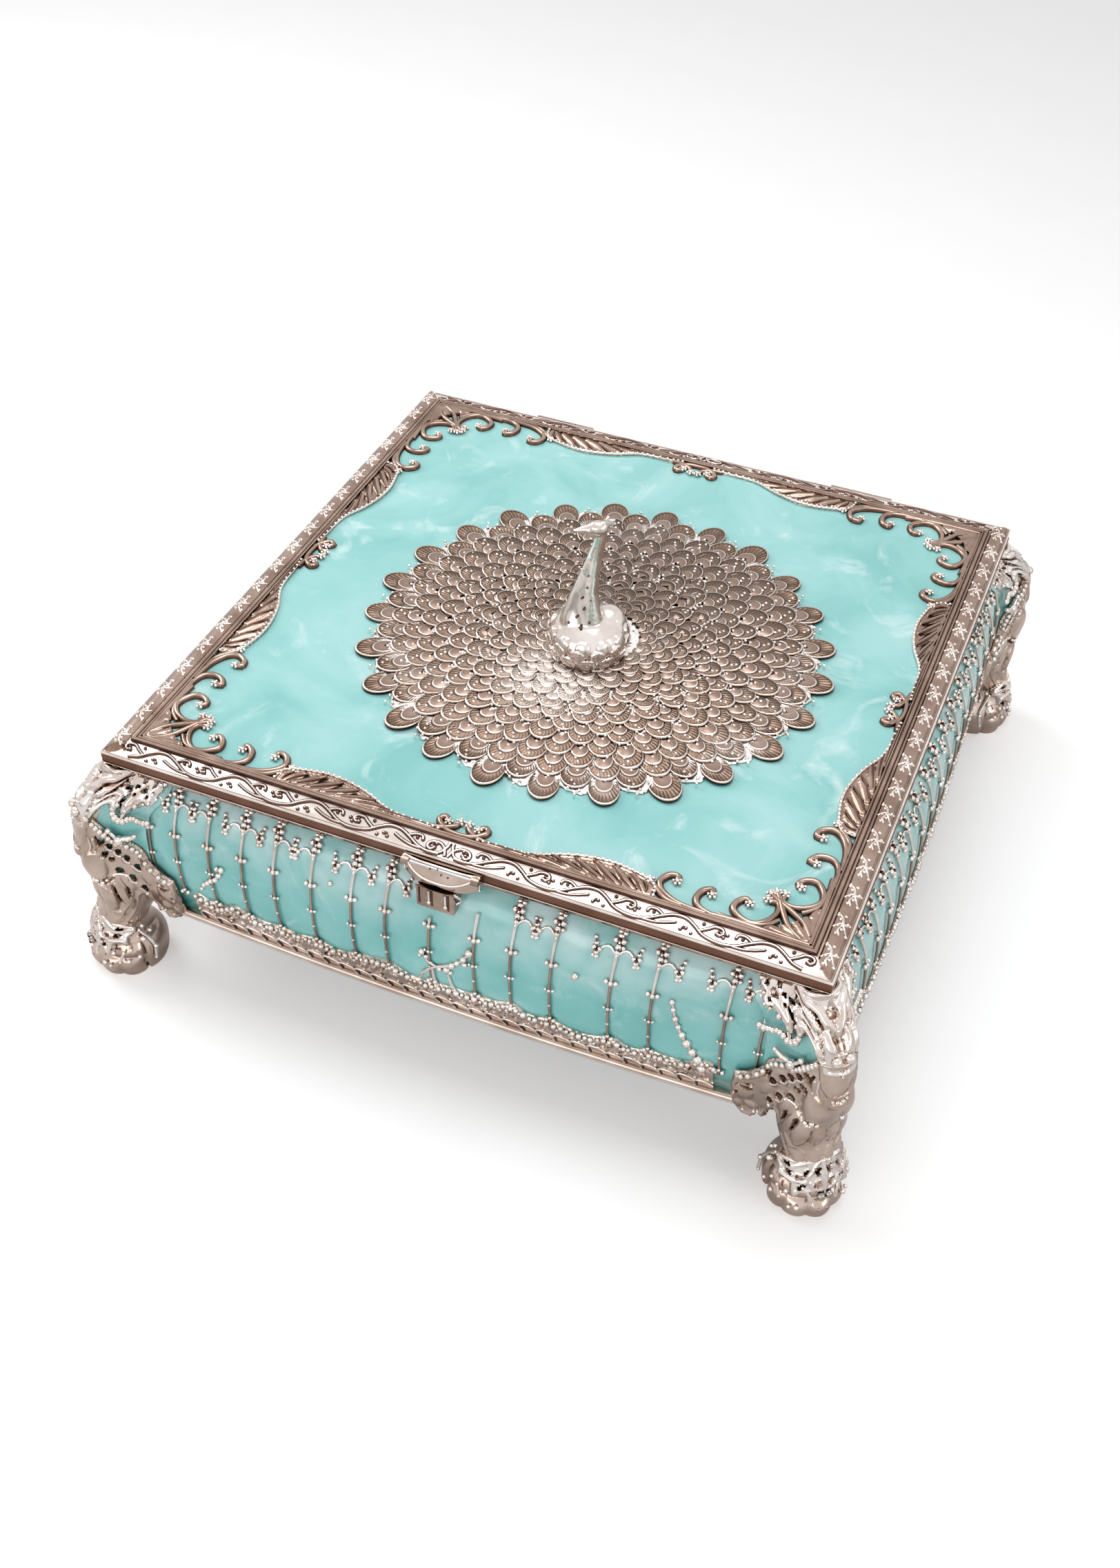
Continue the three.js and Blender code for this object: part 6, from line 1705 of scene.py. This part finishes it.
bird = {
    "centre": (3, -12), "base": 81.8, "turn": 21, "voxel": 0.34,
    "footRing": 10.0, "studRadius": 2.0, "studEnds": (-2.5, 0.4),
    "body": [(0, 0), (9.0, 0), (10.3, 1.0), (11.0, 3.0), (11.3, 5.6), (10.6, 8.2), (8.9, 10.6), (6.0, 12.6),
             (3.4, 13.6), (0, 14.0)],
    "neck": [(-0.6, 5.0), (-1.4, 11.0), (-1.3, 16.0), (-0.8, 21.5), (0.1, 27.0), (1.0, 32.0), (1.8, 36.0),
             (2.4, 40.0), (2.2, 42.0)],
    "neckWide": [8.4, 7.0, 5.4, 3.9, 2.7, 1.95, 1.65, 1.55, 1.5],
    "neckDeep": [7.6, 6.4, 4.9, 3.5, 2.6, 2.0, 1.75, 1.6, 1.5],
    "rows": [
        {"height": 0.8, "count": 12, "length": 4.6, "width": 2.9},
        {"height": 3.4, "count": 12, "length": 4.6, "width": 2.7},
        {"height": 5.9, "count": 11, "length": 4.2, "width": 2.5},
    ],
    # small dark eyes down the front of the neck, as [turn in degrees, height, radius]
    "eyes": [(262, 12.8, 0.5), (246, 15.4, 0.42), (266, 18.0, 0.45), (250, 21.0, 0.38), (264, 24.2, 0.38),
             (254, 27.6, 0.32), (286, 14.0, 0.42), (226, 13.0, 0.42), (288, 20.4, 0.34), (90, 14.0, 0.45),
             (84, 19.0, 0.4), (96, 24.0, 0.36)],
}


def birdBody():
    around = 40
    profile = catmull(bird["body"], 4)
    body = [point for r, z in profile for point in ringPoints(max(r, 0.05), z, around)]
    shapes = [meshObject("bodyForm", body, ringFaces(len(profile), around), brightMetal)]
    spine = catmull(bird["neck"], 5)
    share = np.linspace(0, 1, len(spine))
    widths, depths = along(bird["neckWide"], share), along(bird["neckDeep"], share)
    rings = []
    for (x, z), wide, deep in zip(spine, widths, depths):
        for k in range(24):
            turn = tau * k / 24
            ridge = 1 + 0.1 * math.cos(3 * turn + 0.16 * z)
            rings.append((x + deep * ridge * math.cos(turn), wide * ridge * math.sin(turn), z))
    shapes.append(meshObject("neckForm", rings, ringFaces(len(spine), 24), brightMetal))

    def ellipsoid(name, size, centre, lean=0.0):
        vertices = []
        for i in range(13):
            up = -math.pi / 2 + math.pi * i / 12
            for k in range(20):
                turn = tau * k / 20
                flat = max(math.cos(up), 0.02)
                x, y = size[0] * flat * math.cos(turn), size[1] * flat * math.sin(turn)
                z = size[2] * math.sin(up)
                vertices.append((centre[0] + x * math.cos(lean) + z * math.sin(lean), centre[1] + y,
                                 centre[2] - x * math.sin(lean) + z * math.cos(lean)))
        return meshObject(name, vertices, ringFaces(13, 20), brightMetal)

    shapes.append(ellipsoid("headForm", (2.8, 2.1, 2.2), (1.5, 0, 41.6)))
    shapes.append(ellipsoid("cheekForm", (1.7, 1.6, 1.5), (-0.5, 0, 41.0)))
    beak = [(-1.5, 1.35, 41.3), (-2.8, 1.0, 41.0), (-4.1, 0.6, 40.7), (-5.3, 0.25, 40.5)]
    shapes.append(meshObject("beakForm", [(x, r * math.cos(tau * k / 12), z + r * math.sin(tau * k / 12))
            for x, r, z in beak for k in range(12)],
                             ringFaces(len(beak), 12), brightMetal))
    for lean, size in ((0.9, (0.75, 0.6, 2.6)), (0.35, (0.75, 0.6, 2.5)), (1.35, (0.7, 0.6, 2.2))):
        shapes.append(ellipsoid("crestForm", size, (3.0 + 1.6 * math.sin(lean), 0,
                42.6 + 0.9 * math.cos(lean)), lean))
    # the tail is a round bowl close behind the body
    shapes.append(ellipsoid("tailForm", (5.4, 5.6, 6.6), (5.6, 1.6, 7.4)))
    for shape in shapes:
        faceOutwards(shape)
    joined = joinPieces("birdForm", shapes)
    remesh = joined.modifiers.new("skin", "REMESH")
    remesh.mode, remesh.voxel_size = "VOXEL", bird["voxel"] * mm
    soften = joined.modifiers.new("soften", "SMOOTH")
    soften.factor, soften.iterations = 0.5, 3
    evaluated = joined.evaluated_get(bpy.context.evaluated_depsgraph_get())
    mesh = bpy.data.meshes.new_from_object(evaluated)
    joined.modifiers.clear()
    joined.data = mesh
    joined.data.materials.clear()
    joined.data.materials.append(brightMetal)
    for polygon in joined.data.polygons:
        polygon.use_smooth = True
        polygon.material_index = 0
    return joined


# One chased petal lying on the body, its tip standing a little off it
def petals():
    profile = np.array(catmull(bird["body"], 8)[8:])
    parts = []
    for number, row in enumerate(bird["rows"]):
        for k in range(row["count"]):
            turn = tau * (k + 0.5 * (number % 2)) / row["count"]

            def place(u, v, h, turn=turn, row=row):
                z = row["height"] + np.asarray(v, float)
                r = np.interp(z, profile[:, 1], profile[:, 0])
                away = turn + np.asarray(u, float) / np.maximum(r, 3.0)
                out = r + np.asarray(h, float)
                return np.stack([out * np.cos(away), out * np.sin(away), z + 0 * away], -1)

            def field(u, v, row=row):
                share = np.clip(v / row["length"], 0, 1)
                half = row["width"] * np.sqrt(np.clip(1 - share ** 2.4, 0, 1)) * (0.75 + 0.5 * share)
                t = np.abs(u) / np.maximum(half, 0.05)
                ridge = 0.25 * np.exp(-(u / 0.4) ** 2) - 0.12 * np.cos(tau * u / 1.1)
                return np.where(t < 1, 0.25 + 0.75 * share * np.sqrt(np.clip(1 - t ** 2, 0, 1))
                                + ridge * (1 - share), -0.5)
            parts.append(reliefSheet("petal", field, place, (-row["width"] * 1.2, row["width"] * 1.2),
                                     (0, row["length"]), 0.34, brightMetal, 0.6))
    return joinPieces("petals", parts)


def birdEyes():
    spine = np.array(catmull(bird["neck"], 5))
    share = np.linspace(0, 1, len(spine))
    wide, deep = along(bird["neckWide"], share), along(bird["neckDeep"], share)
    places = []
    for turn, z, r in bird["eyes"]:
        x, w, d = [float(np.interp(z, spine[:, 1], row)) for row in (spine[:, 0], wide, deep)]
        turn = math.radians(turn)
        places.append((x + (d + 0.1) * math.cos(turn), (w + 0.1) * math.sin(turn), z))
    dark = beads("birdEyes", places, [r for _, _, r in bird["eyes"]], darkMetal, 8)
    # a dark wire round the bird's foot: painted shade where it meets the lid
    foot = ringPoints(bird["footRing"], 0.35, 40)
    foot.append(foot[0])
    return [dark, wires("birdFoot", [(foot, 0.5)], darkMetal, 7, 1.2)]


def birdPiece():
    rings = [point for z in bird["studEnds"] for point in ringPoints(bird["studRadius"], z, 20)]
    stud = meshObject("studForm", rings, ringFaces(2, 20), brightMetal)
    obj = joinPieces("bird_finial_chased", [birdBody(), petals(), *birdEyes(), stud])
    spot = Matrix.Translation(Vector((*bird["centre"], bird["base"])) * mm)
    obj.data.transform(spot @ Matrix.Rotation(math.radians(bird["turn"]), 4, "Z"))
    finishPiece(obj, "lid", ["bird_finial"])


birdPiece()
print("bird made")


# CAD nodes that stay as they are get the finish that their name calls for; the rest are rose plate

finishes = {
    "screw": steel, "floor_plate": steel, "backing_plate": steel, "washer": steel, "nut": steel,
    "_pin": steel, "lining": velvet,
}


def dressCarriedNodes():
    for node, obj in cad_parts.items():
        if obj.hide_render:
            continue
        called = [finish for part, finish in finishes.items() if part in node]
        obj.data.materials.clear()
        obj.data.materials.append(called[0] if called else roseMetal)


dressCarriedNodes()

bpy.context.view_layer.update()
